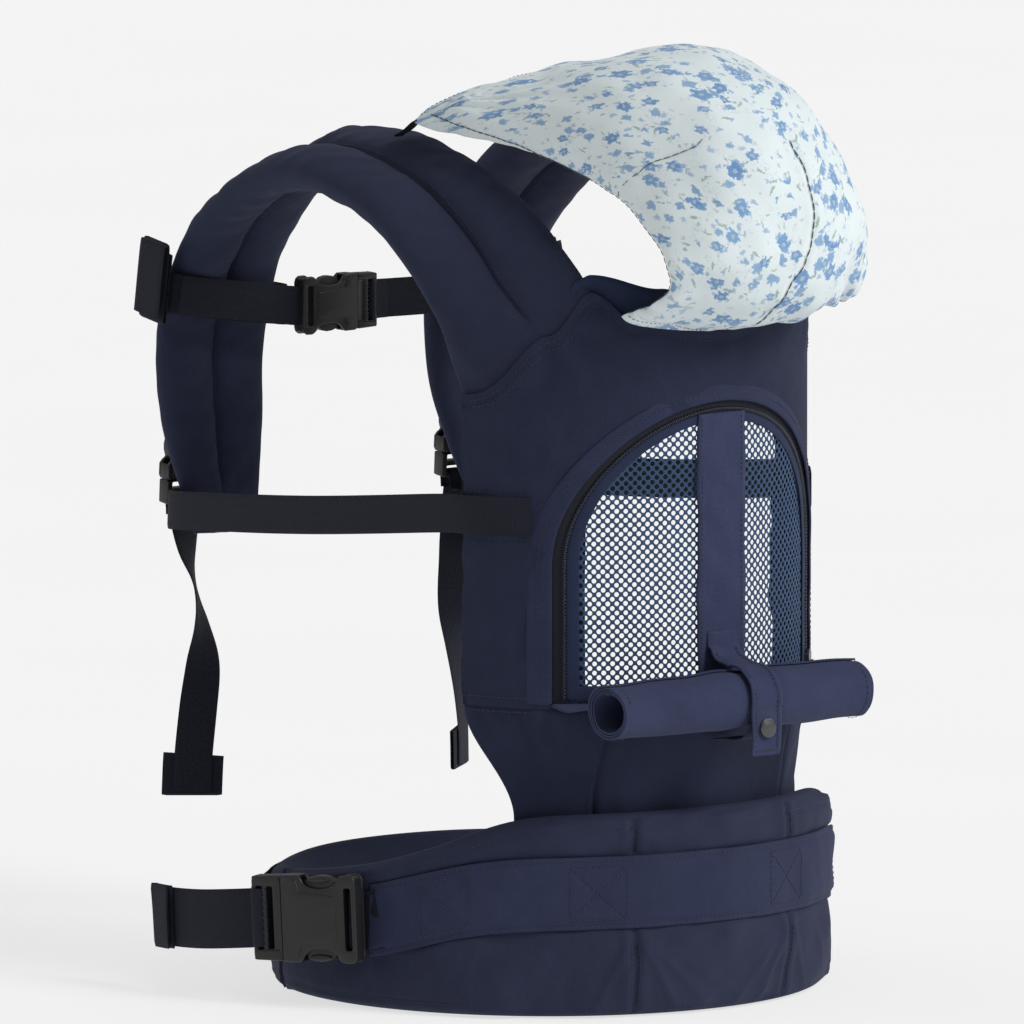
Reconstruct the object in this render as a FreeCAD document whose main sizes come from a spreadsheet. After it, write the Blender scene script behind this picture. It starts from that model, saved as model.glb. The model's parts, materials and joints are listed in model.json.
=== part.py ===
import FreeCAD, Part
import math
import os
import Sketcher

# Soft baby carrier, shown in its worn shape and standing on its waist belt.
# Frame: +Z up, the carrier's front (the panel's outside) faces -Y, the wearer's
# right side is -X. The origin is the centre of the bounding box's bottom face.
os.makedirs("parts", exist_ok=True)
doc = FreeCAD.newDocument("BabyCarrier")
V = FreeCAD.Vector

# ------------------------------------------------------------ driving sizes
SIZES = [
    ("shift_x", 23.506, "moves the belt's centre so that the box centre is at the origin"),
    ("shift_y", -0.474, "the same along Y"),
    ("belt_radius", 179.0, "outer radius of the closed waist belt"),
    ("belt_thick", 18.0, "padding and both fabric layers of the waist belt"),
    ("belt_front_height", 130.0, "height of the belt at the middle of the front"),
    ("belt_back_height", 73.0, "height of the belt behind the wearer"),
    ("fabric", 1.4, "thickness of a canvas cover"),
    ("gap", 0.3, "clearance between neighbouring pieces"),
    ("waist_web", 38.0, "width of the waist webbing"),
    ("web", 25.0, "width of the chest and side webbing"),
    ("web_thick", 1.4, "thickness of the webbing"),
    ("panel_a", 133.0, "half width of the panel's plan ellipse"),
    ("panel_b", 116.0, "half depth of the panel's plan ellipse"),
    ("panel_c", -60.0, "Y of the plan ellipse's centre"),
    ("window_half", 103.0, "half width of the ventilation window"),
    ("window_sill", 199.0, "Z of the window's lower edge"),
    ("window_spring", 289.0, "Z where the window's arch begins"),
    ("roll_radius", 20.5, "radius of the rolled window cover"),
    ("roll_half", 102.0, "half length of the rolled window cover"),
    ("roll_mid", -11.0, "X of the roll's middle"),
    ("roll_y", -203.0, "Y of the roll's axis"),
    ("roll_z", 203.0, "Z of the roll's axis"),
    ("strap_width", 86.0, "width of a padded shoulder strap"),
    ("strap_thick", 26.0, "thickness of a padded shoulder strap"),
    ("chest_z", 421.0, "height of the chest webbing"),
    ("chest_y", 184.5, "Y of the chest webbing"),
    ("band_half", 19.0, "half width of the fabric band down the window"),
    ("snap_radius", 6.2, "radius of the press stud's cap"),
    ("bk25_width", 37.0, "25 mm buckle, across"),
    ("bk25_thick", 11.0, "25 mm buckle, thickness"),
    ("bk25_socket", 44.0, "25 mm buckle, length of the socket half"),
    ("bk25_plug", 17.0, "25 mm buckle, length of the plug half outside the socket"),
    ("bk25_web", 26.4, "25 mm buckle, webbing slot"),
    ("bk40_width", 56.0, "40 mm buckle, across"),
    ("bk40_thick", 13.0, "40 mm buckle, thickness"),
    ("bk40_socket", 54.0, "40 mm buckle, length of the socket half"),
    ("bk40_plug", 22.0, "40 mm buckle, length of the plug half outside the socket"),
    ("bk40_web", 40.0, "40 mm buckle, webbing slot"),
]
sheet = doc.addObject("Spreadsheet::Sheet", "Sizes")
for row, (alias, value, note) in enumerate(SIZES, start=1):
    sheet.set("A%d" % row, str(value))
    sheet.setAlias("A%d" % row, alias)
    sheet.set("B%d" % row, note)
doc.recompute()
S = {alias: float(sheet.get(alias)) for alias, _, _ in SIZES}
SHIFT = V(S["shift_x"], S["shift_y"], 0)
GAP = S["gap"]
PARTS = []          # (object, node name)


def keep(obj, label):
    obj.Label = label
    PARTS.append((obj, label))
    return obj


def coded(label, shape):
    """A sub-part whose shape comes from lofted or fitted surfaces."""
    obj = doc.addObject("Part::Feature", "F_" + label)
    obj.Shape = shape
    obj.Placement = FreeCAD.Placement(SHIFT, FreeCAD.Rotation())
    return keep(obj, label)


# ---------------------------------------------------------- shape functions
def spline(points, closed=False):
    curve = Part.BSplineCurve()
    curve.interpolate(Points=[V(*p) for p in points], PeriodicFlag=closed)
    return curve


def rect_wire(c, across, out, w, t, o=0.0):
    """A rectangle of width w along `across` and thickness t along `out`."""
    a = across * (w / 2.0)
    b0, b1 = out * o, out * (o + t)
    pts = [c - a + b0, c + a + b0, c + a + b1, c - a + b1]
    return Part.makePolygon(pts + [pts[0]])


def band(stations, w, t):
    """Webbing lofted through stations of (point, across, out[, width])."""
    wires = []
    for st in stations:
        c, across, out = st[0], st[1], st[2]
        width = st[3] if len(st) > 3 else w
        wires.append(rect_wire(c, across, out, width, t))
    return Part.makeLoft(wires, True, False)


def grid_face(rows):
    surf = Part.BSplineSurface()
    surf.interpolate([[V(*p) for p in row] for row in rows])
    return surf.toShape()


def grid_solid(outer, inner):
    """A closed sheet between two grids of points with the same layout."""
    fo, fi = grid_face(outer), grid_face(inner)
    faces = [fo, fi]

    def edge(face, pts):
        mid = pts[len(pts) // 2]
        vertex = Part.Vertex(V(*mid))
        return min(face.Edges, key=lambda e: e.distToShape(vertex)[0])

    def borders(grid):
        return [grid[0], grid[-1], [r[0] for r in grid], [r[-1] for r in grid]]

    for po, pi in zip(borders(outer), borders(inner)):
        faces.append(Part.makeRuledSurface(edge(fo, po), edge(fi, pi)))
    shell = Part.Shell([f for s in faces for f in s.Faces])
    shell.sewShape()
    solid = Part.makeSolid(Part.Shell(shell.Faces))
    if solid.Volume < 0:
        solid.reverse()
    return solid


def lerp(table, x):
    """Smooth reading of a table of (x, value)."""
    if x <= table[0][0]:
        return table[0][1]
    for (x0, y0), (x1, y1) in zip(table, table[1:]):
        if x <= x1:
            k = (x - x0) / (x1 - x0)
            k = k * k * (3 - 2 * k)
            return y0 + (y1 - y0) * k
    return table[-1][1]


# -------------------------------------------------- plan shape of the panel
A0, B0, C0 = S["panel_a"], S["panel_b"], S["panel_c"]
BASE_R = S["belt_radius"] - S["belt_thick"] - 2.4


def panel_point(s, z, off):
    """s runs -1..1 from the wearer's right edge to the left edge."""
    end = math.radians(80.0)
    a = s * end
    x1, y1 = A0 * math.sin(a), C0 - B0 * math.cos(a)
    n1 = V(math.sin(a) / A0, -math.cos(a) / B0, 0)
    n1.normalize()
    b = s * math.radians(46.0)
    x0, y0 = BASE_R * math.sin(b), -BASE_R * math.cos(b)
    n0 = V(math.sin(b), -math.cos(b), 0)
    k = lerp([(126, 0.0), (200, 1.0)], z)
    n = n0 * (1 - k) + n1 * k
    n.normalize()
    x = x0 * (1 - k) + x1 * k
    y = y0 * (1 - k) + y1 * k
    return (x + n.x * off, y + n.y * off, z)


def panel_layer(off0, off1, z0, z1, s0=-1.0, s1=1.0, rows=9, cols=15, top=None):
    def grid(off):
        out = []
        for i in range(rows):
            row = []
            for j in range(cols):
                s = s0 + (s1 - s0) * j / (cols - 1)
                zt = z1 if top is None else top(s)
                row.append(panel_point(s, z0 + (zt - z0) * i / (rows - 1), off))
            out.append(row)
        return out
    return grid_solid(grid(off1), grid(off0))


def arch(half, sill, spring=None, y0=-260.0, y1=-70.0):
    """A prism along Y with the outline of the window."""
    r = half
    zs = S["window_spring"] if spring is None else spring
    p = [V(-r, y0, sill), V(r, y0, sill), V(r, y0, zs), V(0, y0, zs + r), V(-r, y0, zs)]
    wire = Part.Wire([Part.makeLine(p[0], p[1]), Part.makeLine(p[1], p[2]),
                      Part.Arc(p[2], p[3], p[4]).toShape(), Part.makeLine(p[4], p[0])])
    return Part.Face(wire).extrude(V(0, y1 - y0, 0))


def block(x0, x1, y0, y1, z0, z1):
    return Part.makeBox(x1 - x0, y1 - y0, z1 - z0, V(x0, y0, z0))


def largest(shape):
    return max(shape.Solids, key=lambda q: q.Volume)


def panel_top(s):
    """The neck edge dips in the middle and falls away along the yoke seams."""
    x = abs(panel_point(s, 400, 0)[0])
    return lerp([(0, 437.0), (60, 446.0), (84, 464.0), (104, 436.0), (131, 396.0)], x)


W = S["window_half"]
SILL = S["window_sill"]
SEAT_Z = 198.0

outer = panel_layer(0.3, 0.3 + S["fabric"], SEAT_Z + GAP, None, top=panel_top, cols=31)
outer = largest(outer.cut(arch(W, SILL - 20)))
coded("body_panel_outer", outer)
lining = panel_layer(-0.3 - 0.8, -0.3, SEAT_Z + GAP, None, top=lambda s: panel_top(s) - 16, cols=31)
lining = largest(lining.cut(arch(W, SILL - 20)))
# the lining's inner facings stand off inwards on both sides of the window
for sgn in (-1, 1):
    quad = [V(sgn * 112.4, -120.4, 200), V(sgn * 76.0, -133.6, 200), V(sgn * 76.0, -134.4, 200), V(sgn * 112.4, -121.2, 200)]
    facing = Part.Face(Part.makePolygon(quad + [quad[0]])).extrude(V(0, 0, 190))
    lining = largest(lining.fuse(facing).removeSplitter())
coded("body_panel_lining", lining)
coded("seat_panel", panel_layer(-0.7, 0.9, 112, SEAT_Z, rows=8))

# mesh, its surround and the band down the middle
core = panel_layer(-0.5, 0.5, SILL + 3, 405, rows=6)
coded("mesh_window", largest(core.common(arch(W - 8.5, SILL + 3, y1=-70))))
tape = core.common(arch(W - GAP, SILL + 3))
tape = largest(tape.cut(arch(W - 8.2, SILL - 30)))
coded("zipper_tape", tape)
coil = panel_layer(0.8, 2.6, SILL + 6, 405, rows=6)
coil = coil.common(arch(W - 4.6, SILL + 6)).cut(arch(W - 7.6, SILL - 30))
coded("zipper_coil", largest(coil))
bind = panel_layer(2.0, 3.6, SILL + 1, 410, rows=6)
bind = bind.common(arch(W + 6.0, SILL + 1)).cut(arch(W + 2.2, SILL - 30))
coded("window_binding", largest(bind))
cband = panel_layer(0.8, 1.8, SILL + 5, 405, rows=6)
cband = cband.common(arch(W - 8.5, SILL + 5)).common(
    block(-S["band_half"], S["band_half"], -260, -60, 190, 420))
coded("window_center_band", largest(cband))

# ------------------------------------------------------------ waist belt
# The height of the belt depends only on Y, so one profile extruded along X
# trims the ring evenly on both sides.
R, T = S["belt_radius"], S["belt_thick"]
H0, H1 = S["belt_front_height"], S["belt_back_height"]
TOP = [(-179, H0), (-129, H0 - 4), (-76, H0 - 25), (-15, H0 - 41), (110, H1), (179, H1)]
MID = [(-179, 81.0), (-115, 77.0), (-34, 56.5), (60, 49.5), (179, 48.0)]


def profile_prism(low, high, y0=-230.0, y1=230.0, n=24):
    """Everything between two height curves, as a prism along X."""
    ys = [y0 + (y1 - y0) * i / n for i in range(n + 1)]
    lo = [(-260, y, low(y)) for y in ys]
    hi = [(-260, y, high(y)) for y in ys]
    level = max(q[2] for q in lo) - min(q[2] for q in lo) < 1e-9
    e0 = Part.makeLine(V(*lo[0]), V(*lo[-1])) if level else spline(lo).toShape()
    e1 = spline(hi).toShape()
    wire = Part.Wire([e0, Part.makeLine(V(*lo[-1]), V(*hi[-1])), e1,
                      Part.makeLine(V(*hi[0]), V(*lo[0]))])
    return Part.Face(wire).extrude(V(520, 0, 0))


def smooth(table):
    curve = spline([(0, y, z) for y, z in table])

    def read(y):
        y = max(table[0][0], min(table[-1][0], y))
        lo, hi = curve.FirstParameter, curve.LastParameter
        for _ in range(40):
            mid = (lo + hi) / 2
            if curve.value(mid).y < y:
                lo = mid
            else:
                hi = mid
        return curve.value(lo).z
    return read


top_of, mid_of = smooth(TOP), smooth(MID)


def ring(name, r_out, r_in, z0=-10.0, z1=150.0):
    """An annulus built from two cylinders and a cut, bound to the sheet."""
    co = doc.addObject("Part::Cylinder", name + "_outer")
    co.setExpression("Radius", "Sizes.belt_radius + (%g)" % (r_out - R))
    co.Height = z1 - z0
    ci = doc.addObject("Part::Cylinder", name + "_inner")
    ci.setExpression("Radius", "Sizes.belt_radius + (%g)" % (r_in - R))
    ci.Height = z1 - z0 + 2
    ci.Placement.Base = V(0, 0, -1)
    cut = doc.addObject("Part::Cut", name + "_ring")
    cut.Base, cut.Tool = co, ci
    cut.Placement.Base = V(0, 0, z0)
    doc.recompute()
    return cut.Shape


# the belt's two ends meet behind the buckle, on the wearer's right
def ends_gap(width):
    b = Part.makeBox(60, width, 200, V(140, -width / 2, -20))
    b.rotate(V(0, 0, 0), V(0, 0, 1), -90 - 112)
    return b


F = S["fabric"]
cover = ring("belt", R, R - T).common(profile_prism(lambda y: 0.0, top_of)).cut(ends_gap(5.0))
cavity = ring("belt_cavity", R - F, R - T + F).common(
    profile_prism(lambda y: F, lambda y: top_of(y) - F)).cut(ends_gap(9.0))
coded("waist_belt_cover", largest(cover).cut(largest(cavity)))
foam = ring("belt_foam", R - F - GAP, R - T + F + GAP).common(
    profile_prism(lambda y: F + GAP, lambda y: top_of(y) - F - GAP)).cut(ends_gap(11.0))
# the thick front pad and the thinner wing padding are cut from separate sheets
foam = largest(foam)
coded("waist_belt_front_pad", largest(foam.common(block(-200, 200, -200, -90.2, -5, 140))))
coded("waist_belt_wing_pad", largest(foam.common(block(-200, 200, -89.8, 200, -5, 140))))

CAS = 23.0
casing = ring("casing", R + 3.3, R + GAP).common(
    profile_prism(lambda y: mid_of(y) - CAS, lambda y: mid_of(y) + CAS))
slot = ring("casing_slot", R + 2.8, R + 0.8).common(
    profile_prism(lambda y: mid_of(y) - 20.5, lambda y: mid_of(y) + 20.5))
casing = casing.cut(slot).common(block(-200, 200, -200, -50, 0, 140))
coded("waist_belt_casing", largest(casing))

WW = S["waist_web"] / 2
webring = ring("waist_web", R + 2.5, R + 1.1).common(
    profile_prism(lambda y: mid_of(y) - WW, lambda y: mid_of(y) + WW))
wedge = Part.Face(Part.makePolygon([V(0, 0, -20), V(-400, 20, -20), V(-400, 377.9, -20),
                                    V(0, 0, -20)])).extrude(V(0, 0, 200))
webring = largest(webring.cut(wedge))
# it leaves the belt behind the wearer's right hip and runs straight to the buckle
leg = [V(-131.3, 125.7, 48.4), V(-132.1, 124.9, 48.4), V(-173.0, 80.6, 51.6), V(-211.4, 33.3, 54.8)]
st = [(q, V(0, 0, 1), V(-0.736, -0.677, 0)) for q in leg]
webring = largest(webring.fuse(band([(q[0] - q[2] * 0.7, q[1], q[2]) for q in st], 2 * WW, S["web_thick"])).removeSplitter())
coded("waist_webbing", webring)

# ------------------------------------------------------- buckles (parametric)
ORIGIN = {}


def plane(body, role):
    for f in body.Origin.OriginFeatures:
        if f.Role == role:
            return f
    raise RuntimeError(role)


def rect(sk, x0, x1, y0, y1, exprs=None):
    """A constrained rectangle; exprs maps left/right/low/high to expressions."""
    n = sk.GeometryCount
    p = [V(x0, y0, 0), V(x1, y0, 0), V(x1, y1, 0), V(x0, y1, 0)]
    for i in range(4):
        sk.addGeometry(Part.LineSegment(p[i], p[(i + 1) % 4]), False)
    for i in range(4):
        sk.addConstraint(Sketcher.Constraint("Coincident", n + i, 2, n + (i + 1) % 4, 1))
    sk.addConstraint([Sketcher.Constraint("Horizontal", n), Sketcher.Constraint("Horizontal", n + 2),
                      Sketcher.Constraint("Vertical", n + 1), Sketcher.Constraint("Vertical", n + 3)])
    made = {}
    for key, kind, geo, val in (("left", "DistanceX", n + 3, x0), ("right", "DistanceX", n + 1, x1),
                                ("low", "DistanceY", n, y0), ("high", "DistanceY", n + 2, y1)):
        made[key] = sk.addConstraint(Sketcher.Constraint(kind, -1, 1, geo, 1, val))
    for key, expr in (exprs or {}).items():
        sk.setExpression("Constraints[%d]" % made[key], expr)


def poly(sk, pts):
    n = sk.GeometryCount
    for i in range(len(pts)):
        sk.addGeometry(Part.LineSegment(V(*pts[i], 0), V(*pts[(i + 1) % len(pts)], 0)), False)
    for i in range(len(pts)):
        sk.addConstraint(Sketcher.Constraint("Coincident", n + i, 2, n + (i + 1) % len(pts), 1))
    for i, (px, py) in enumerate(pts):
        sk.addConstraint(Sketcher.Constraint("DistanceX", -1, 1, n + i, 1, px))
        sk.addConstraint(Sketcher.Constraint("DistanceY", -1, 1, n + i, 1, py))


def sketch(body, name, role="XY_Plane"):
    sk = body.newObject("Sketcher::SketchObject", name)
    sk.AttachmentSupport = [(plane(body, role), "")]
    sk.MapMode = "FlatFace"
    return sk


def pad(body, name, sk, length, expr=None, both=True):
    f = body.newObject("PartDesign::Pad", name)
    f.Profile = sk
    f.Length = length
    f.Midplane = both
    if expr:
        f.setExpression("Length", expr)
    doc.recompute()
    return f


def pocket(body, name, sk, length, both=True, expr=None):
    before = body.Shape.Volume
    f = body.newObject("PartDesign::Pocket", name)
    f.Profile = sk
    f.Length = length
    f.Midplane = both
    if expr:
        f.setExpression("Length", expr)
    doc.recompute()
    if not body.Shape.Volume < before - 0.01:
        raise RuntimeError("pocket cut nothing: " + name)
    return f


def buckle(prefix, size, at, along, out):
    """A side-release buckle. `along` points from plug to socket, `out` is the
    outward face. Local X = along, Z = out, origin at the socket's mouth."""
    g = lambda key: S["%s_%s" % (size, key)]
    w, th, ls, lp, web = g("width"), g("thick"), g("socket"), g("plug"), g("web")
    x, z = V(*along), V(*out)
    x.normalize()
    z.normalize()
    y = z.cross(x)
    m = FreeCAD.Matrix(x.x, y.x, z.x, 0, x.y, y.y, z.y, 0, x.z, y.z, z.z, 0, 0, 0, 0, 1)
    place = FreeCAD.Placement(V(*at) + SHIFT, FreeCAD.Placement(m).Rotation)
    tag = prefix.replace("_", "")
    e = "Sizes.%s_" % size

    # socket half: a flat box with side windows, a waist and a webbing bar
    b = doc.addObject("PartDesign::Body", "B_%s_socket" % tag)
    sk = sketch(b, tag + "_outline")
    rect(sk, 0, ls, -w / 2, w / 2, {"right": e + "socket", "low": "-%swidth / 2" % e, "high": "%swidth / 2" % e})
    pad(b, tag + "_body", sk, th, e + "thick")
    sk = sketch(b, tag + "_cavity_sk")
    rect(sk, -1, ls * 0.76, -w / 2 + 2.4, w / 2 - 2.4)
    pocket(b, tag + "_cavity", sk, th - 4.2)
    sk = sketch(b, tag + "_window_sk")
    rect(sk, ls * 0.34, ls * 0.74, w / 2 - 7.6, w / 2 + 3)
    rect(sk, ls * 0.34, ls * 0.74, -w / 2 - 3, -w / 2 + 7.6)
    pocket(b, tag + "_windows", sk, th + 4)
    sk = sketch(b, tag + "_bar_sk")
    rect(sk, ls - 8.6, ls - 3.4, -web / 2, web / 2, {"low": "-%sweb / 2" % e, "high": "%sweb / 2" % e})
    pocket(b, tag + "_bar", sk, th + 4)
    long_edges = []
    for i, ed in enumerate(b.Shape.Edges, start=1):
        bb = ed.BoundBox
        if bb.XLength < 0.01 and bb.YLength < 0.01 and abs(bb.ZLength - th) < 0.01 and bb.XMax > ls - 0.1:
            long_edges.append("Edge%d" % i)
    if long_edges:
        base = b.Tip
        f = b.newObject("PartDesign::Fillet", tag + "_corners")
        f.Base = (base, long_edges)
        f.Radius = 3.0
        doc.recompute()
    b.Placement = place
    keep(b, prefix + "_buckle_socket")

    # plug half: ladder bars, a centre guide, and two sprung side arms
    b = doc.addObject("PartDesign::Body", "B_%s_plug" % tag)
    sk = sketch(b, tag + "_plug_sk")
    rect(sk, -lp, -0.6, -w / 2 + 0.6, w / 2 - 0.6, {"left": "-%splug" % e})
    pad(b, tag + "_plug_pad", sk, th - 1.5)
    sk = sketch(b, tag + "_ladder_sk")
    rect(sk, -lp + 3.2, -lp + 7.4, -web / 2, web / 2, {"low": "-%sweb / 2" % e, "high": "%sweb / 2" % e})
    rect(sk, -lp + 10.6, -lp + 14.8, -web / 2, web / 2, {"low": "-%sweb / 2" % e, "high": "%sweb / 2" % e})
    pocket(b, tag + "_ladder", sk, th + 4)
    sk = sketch(b, tag + "_guide_sk")
    rect(sk, -1.5, ls * 0.66, -1.7, 1.7)
    pad(b, tag + "_guide", sk, 4.0)
    b.Placement = place
    keep(b, prefix + "_buckle_plug")

    for side, name in ((1, "_buckle_arm_a"), (-1, "_buckle_arm_b")):
        b = doc.addObject("PartDesign::Body", "B_%s_arm%d" % (tag, side + 1))
        sk = sketch(b, tag + "_arm_sk%d" % (side + 1))
        h = w / 2
        pts = [(-0.2, h - 9.4), (-0.2, h - 6.0), (ls * 0.36, h - 5.2), (ls * 0.365, h - 1.4),
               (ls * 0.50, h - 0.4), (ls * 0.66, h - 3.0), (ls * 0.715, h - 6.8),
               (ls * 0.66, h - 8.6), (ls * 0.34, h - 8.2)]
        pts = [(px, py * side) for px, py in pts]
        if side < 0:
            pts = pts[::-1]
        poly(sk, pts)
        pad(b, tag + "_arm%d" % (side + 1), sk, th - 5.0)
        b.Placement = place
        keep(b, prefix + name)
        ORIGIN[prefix + name] = place.multVec(V(0.5, side * (h - 7.6), 0))
    ORIGIN[prefix + "_out"] = z


# chest: socket toward the wearer's right, plug toward the left
CZ, CY, WT = S["chest_z"], S["chest_y"], S["web_thick"]
buckle("chest", "bk25", (-17.0, CY - 1.5, CZ), (-1, 0, 0), (0, -1, 0))
# waist: socket toward the front, plug toward the back, on the wearer's right
bat = V(-206.2, 8.2, 56.7)
bfwd = V(0.40, -0.9165, 0.05)
bout = V(-0.9165, -0.40, 0)
buckle("waist", "bk40", tuple(bat), tuple(bfwd), tuple(bout))
# side adjusters behind the lower ends of the shoulder straps
SIDE_B = {}
for sgn, side in ((-1, "right"), (1, "left")):
    at = (sgn * 112.0, 236.0, 309.0)
    buckle(side + "_side", "bk25", at, (0, -0.10, 1), (0, 1, 0.10))
    SIDE_B[side] = at

# ---------------------------------------------------- padded shoulder straps
# centreline, the direction across the strap, width and thickness
STRAP = [
    ((106.5, -113.0, 433.0), (-0.48, -0.55, 0.68), 96, 15),
    ((109.5, -92.0, 462.0), (-0.62, -0.50, 0.60), 92, 21),
    ((111.0, -62.0, 489.0), (-0.80, -0.38, 0.46), 88, 25),
    ((111.5, -22.0, 512.0), (-0.93, -0.20, 0.32), 86, 26),
    ((111.0, 25.0, 527.0), (-0.96, -0.06, 0.27), 86, 26),
    ((110.0, 75.0, 531.0), (-0.97, 0.0, 0.24), 86, 26),
    ((109.5, 122.0, 519.0), (-0.98, 0.05, 0.18), 86, 26),
    ((109.0, 163.0, 493.0), (-0.99, 0.05, 0.10), 86, 26),
    ((108.5, 193.0, 460.0), (-1.0, 0.04, 0.04), 85, 26),
    ((108.5, 210.0, 423.0), (-1.0, 0.0, 0.0), 84, 25),
    ((109.0, 215.0, 387.0), (-1.0, 0.0, 0.0), 83, 24),
    ((110.0, 212.0, 352.0), (-1.0, 0.0, 0.0), 78, 22),
    ((111.5, 204.0, 320.0), (-1.0, 0.0, 0.0), 68, 18),
    ((113.0, 196.0, 292.0), (-1.0, 0.0, 0.0), 56, 12),
    ((113.5, 192.0, 278.0), (-1.0, 0.0, 0.0), 50, 9),
]


def strap_frames(sgn):
    pts = [V(sgn * p[0][0], p[0][1], p[0][2]) for p in STRAP]
    frames = []
    for i, (_, acr, w, t) in enumerate(STRAP):
        tan = pts[min(i + 1, len(pts) - 1)] - pts[max(i - 1, 0)]
        tan.normalize()
        a = V(sgn * acr[0], acr[1], acr[2])
        a = a - tan * a.dot(tan)
        a.normalize()
        n = tan.cross(a)
        # n points away from the wearer's shoulder
        centre = V(sgn * 110, 60, 380)
        if n.dot(pts[i] - centre) < 0:
            n = n * -1
        frames.append((pts[i], a, n, w, t))
    return frames


def oval(c, a, n, w, t, dip=0.0, count=20):
    pts = []
    for k in range(count):
        q = 2 * math.pi * k / count
        cx, cy = math.cos(q), math.sin(q)
        px = (w / 2) * math.copysign(abs(cx) ** 0.75, cx)
        py = (t / 2) * math.copysign(abs(cy) ** 0.8, cy)
        py *= 1 - dip * math.exp(-(px / 9.0) ** 2)
        pts.append(c + a * px + n * py)
    return Part.Wire([spline([(p.x, p.y, p.z) for p in pts], True).toShape()])


def tube_solid(wires):
    """A closed solid through matching closed sections, pair by pair."""
    faces = [Part.Face(wires[0]), Part.Face(wires[-1])]
    for w0, w1 in zip(wires, wires[1:]):
        faces += Part.makeLoft([w0, w1], False, True).Faces
    shell = Part.Shell(faces)
    shell.sewShape()
    solid = Part.makeSolid(Part.Shell(shell.Faces))
    if solid.Volume < 0:
        solid.reverse()
    return solid


def strap_loft(frames, grow_w, grow_t, shift=0.0, share=1.0, first=0, last=None):
    wires = []
    last = len(frames) if last is None else last
    for c, a, n, w, t in frames[first:last]:
        ww, tt = w * share + grow_w, t + grow_t
        dip = 0.22 if share == 1.0 else 0.0
        wires.append(oval(c + a * (w * shift), a, n, ww, tt, dip))
    return tube_solid(wires)


for sgn, side in ((-1, "right"), (1, "left")):
    fr = strap_frames(sgn)
    body = strap_loft(fr, 0, 0)
    ch_a = strap_loft(fr, -4.4, -3.4, 0.245, 0.46, 2, 13)
    ch_b = strap_loft(fr, -4.4, -3.4, -0.245, 0.46, 2, 13)
    shell = body.cut(ch_a).cut(ch_b)
    coded(side + "_strap_cover", largest(shell))
    inner, outer_l = (ch_a, ch_b)
    coded(side + "_strap_inner_foam", largest(strap_loft(fr, -5.2, -4.2, 0.245, 0.46, 3, 12)))
    coded(side + "_strap_outer_foam", largest(strap_loft(fr, -5.2, -4.2, -0.245, 0.46, 3, 12)))
    # yoke: the gusset that joins the strap's root to the panel's corner
    c, a, n, w, t = fr[0]
    tan = (fr[1][0] - fr[0][0])
    tan.normalize()
    wires = [oval(c - tan * 0.5, a, n, w, t, 0.0), oval(c - tan * 9, a, n, w - 2, 8, 0.0)]
    coded(side + "_strap_yoke", Part.makeLoft(wires, True, True))

# ----------------------------------------------------------- chest webbing
half = S["web"] / 2


def plan_band(points, zc, w, t, out_sign=1.0):
    """Webbing with its width upright, following points in plan; zc(i) height."""
    st = []
    n = len(points)
    for i, (px, py) in enumerate(points):
        q0, q1 = points[max(i - 1, 0)], points[min(i + 1, n - 1)]
        tan = V(q1[0] - q0[0], q1[1] - q0[1], 0)
        tan.normalize()
        out = V(tan.y, -tan.x, 0) * out_sign
        st.append((V(px, py, zc(i)), V(0, 0, 1), out))
    return band(st, w, t)


# a flat loop round each strap carries the chest webbing and rises outwards
RISE = 0.15
for sgn, side in ((-1, "right"), (1, "left")):
    x0, x1 = sorted((sgn * 157.0, sgn * 62.6))
    o = block(x0, x1, CY + 0.4, 233.0, CZ - half, CZ + half)
    i = block(x0 + WT, x1 - WT, CY + 0.4 + WT, 233.0 - WT, CZ - half - 1, CZ + half + 1)
    loop = o.cut(i)
    rise = FreeCAD.Matrix(1, 0, 0, 0, 0, 1, 0, 0, sgn * RISE, 0, 1, -62.6 * RISE, 0, 0, 0, 1)
    loop = loop.transformGeometry(rise)
    coded(side + "_chest_loop", loop)
    hx = (-61.8, -156.5) if sgn < 0 else (0.8, 156.5)
    st = []
    for k in range(7):
        hxk = hx[0] + (hx[1] - hx[0]) * k / 6.0
        st.append((V(hxk, CY - 1.5, CZ + RISE * max(0.0, abs(hxk) - 62.6)), V(0, 0, 1), V(0, 1, 0)))
    coded(side + "_chest_webbing", band(st, S["web"], WT))
# folded free end of the adjustable side
d9, a9 = V(0, -math.sin(math.radians(9)), math.cos(math.radians(9))), V(0, math.cos(math.radians(9)), math.sin(math.radians(9)))
mid9 = V(-164.0, 202.0, 443.0)
st = [(-26.0, 22.0, 6.0), (-24.0, 25.0, 8.0), (24.0, 25.0, 8.0), (26.0, 22.0, 6.0)]
coded("chest_webbing_end", Part.makeLoft(
    [rect_wire(mid9 + d9 * k, a9, V(1, 0, 0), w, th, -th / 2) for k, w, th in st], True, True))

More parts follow.
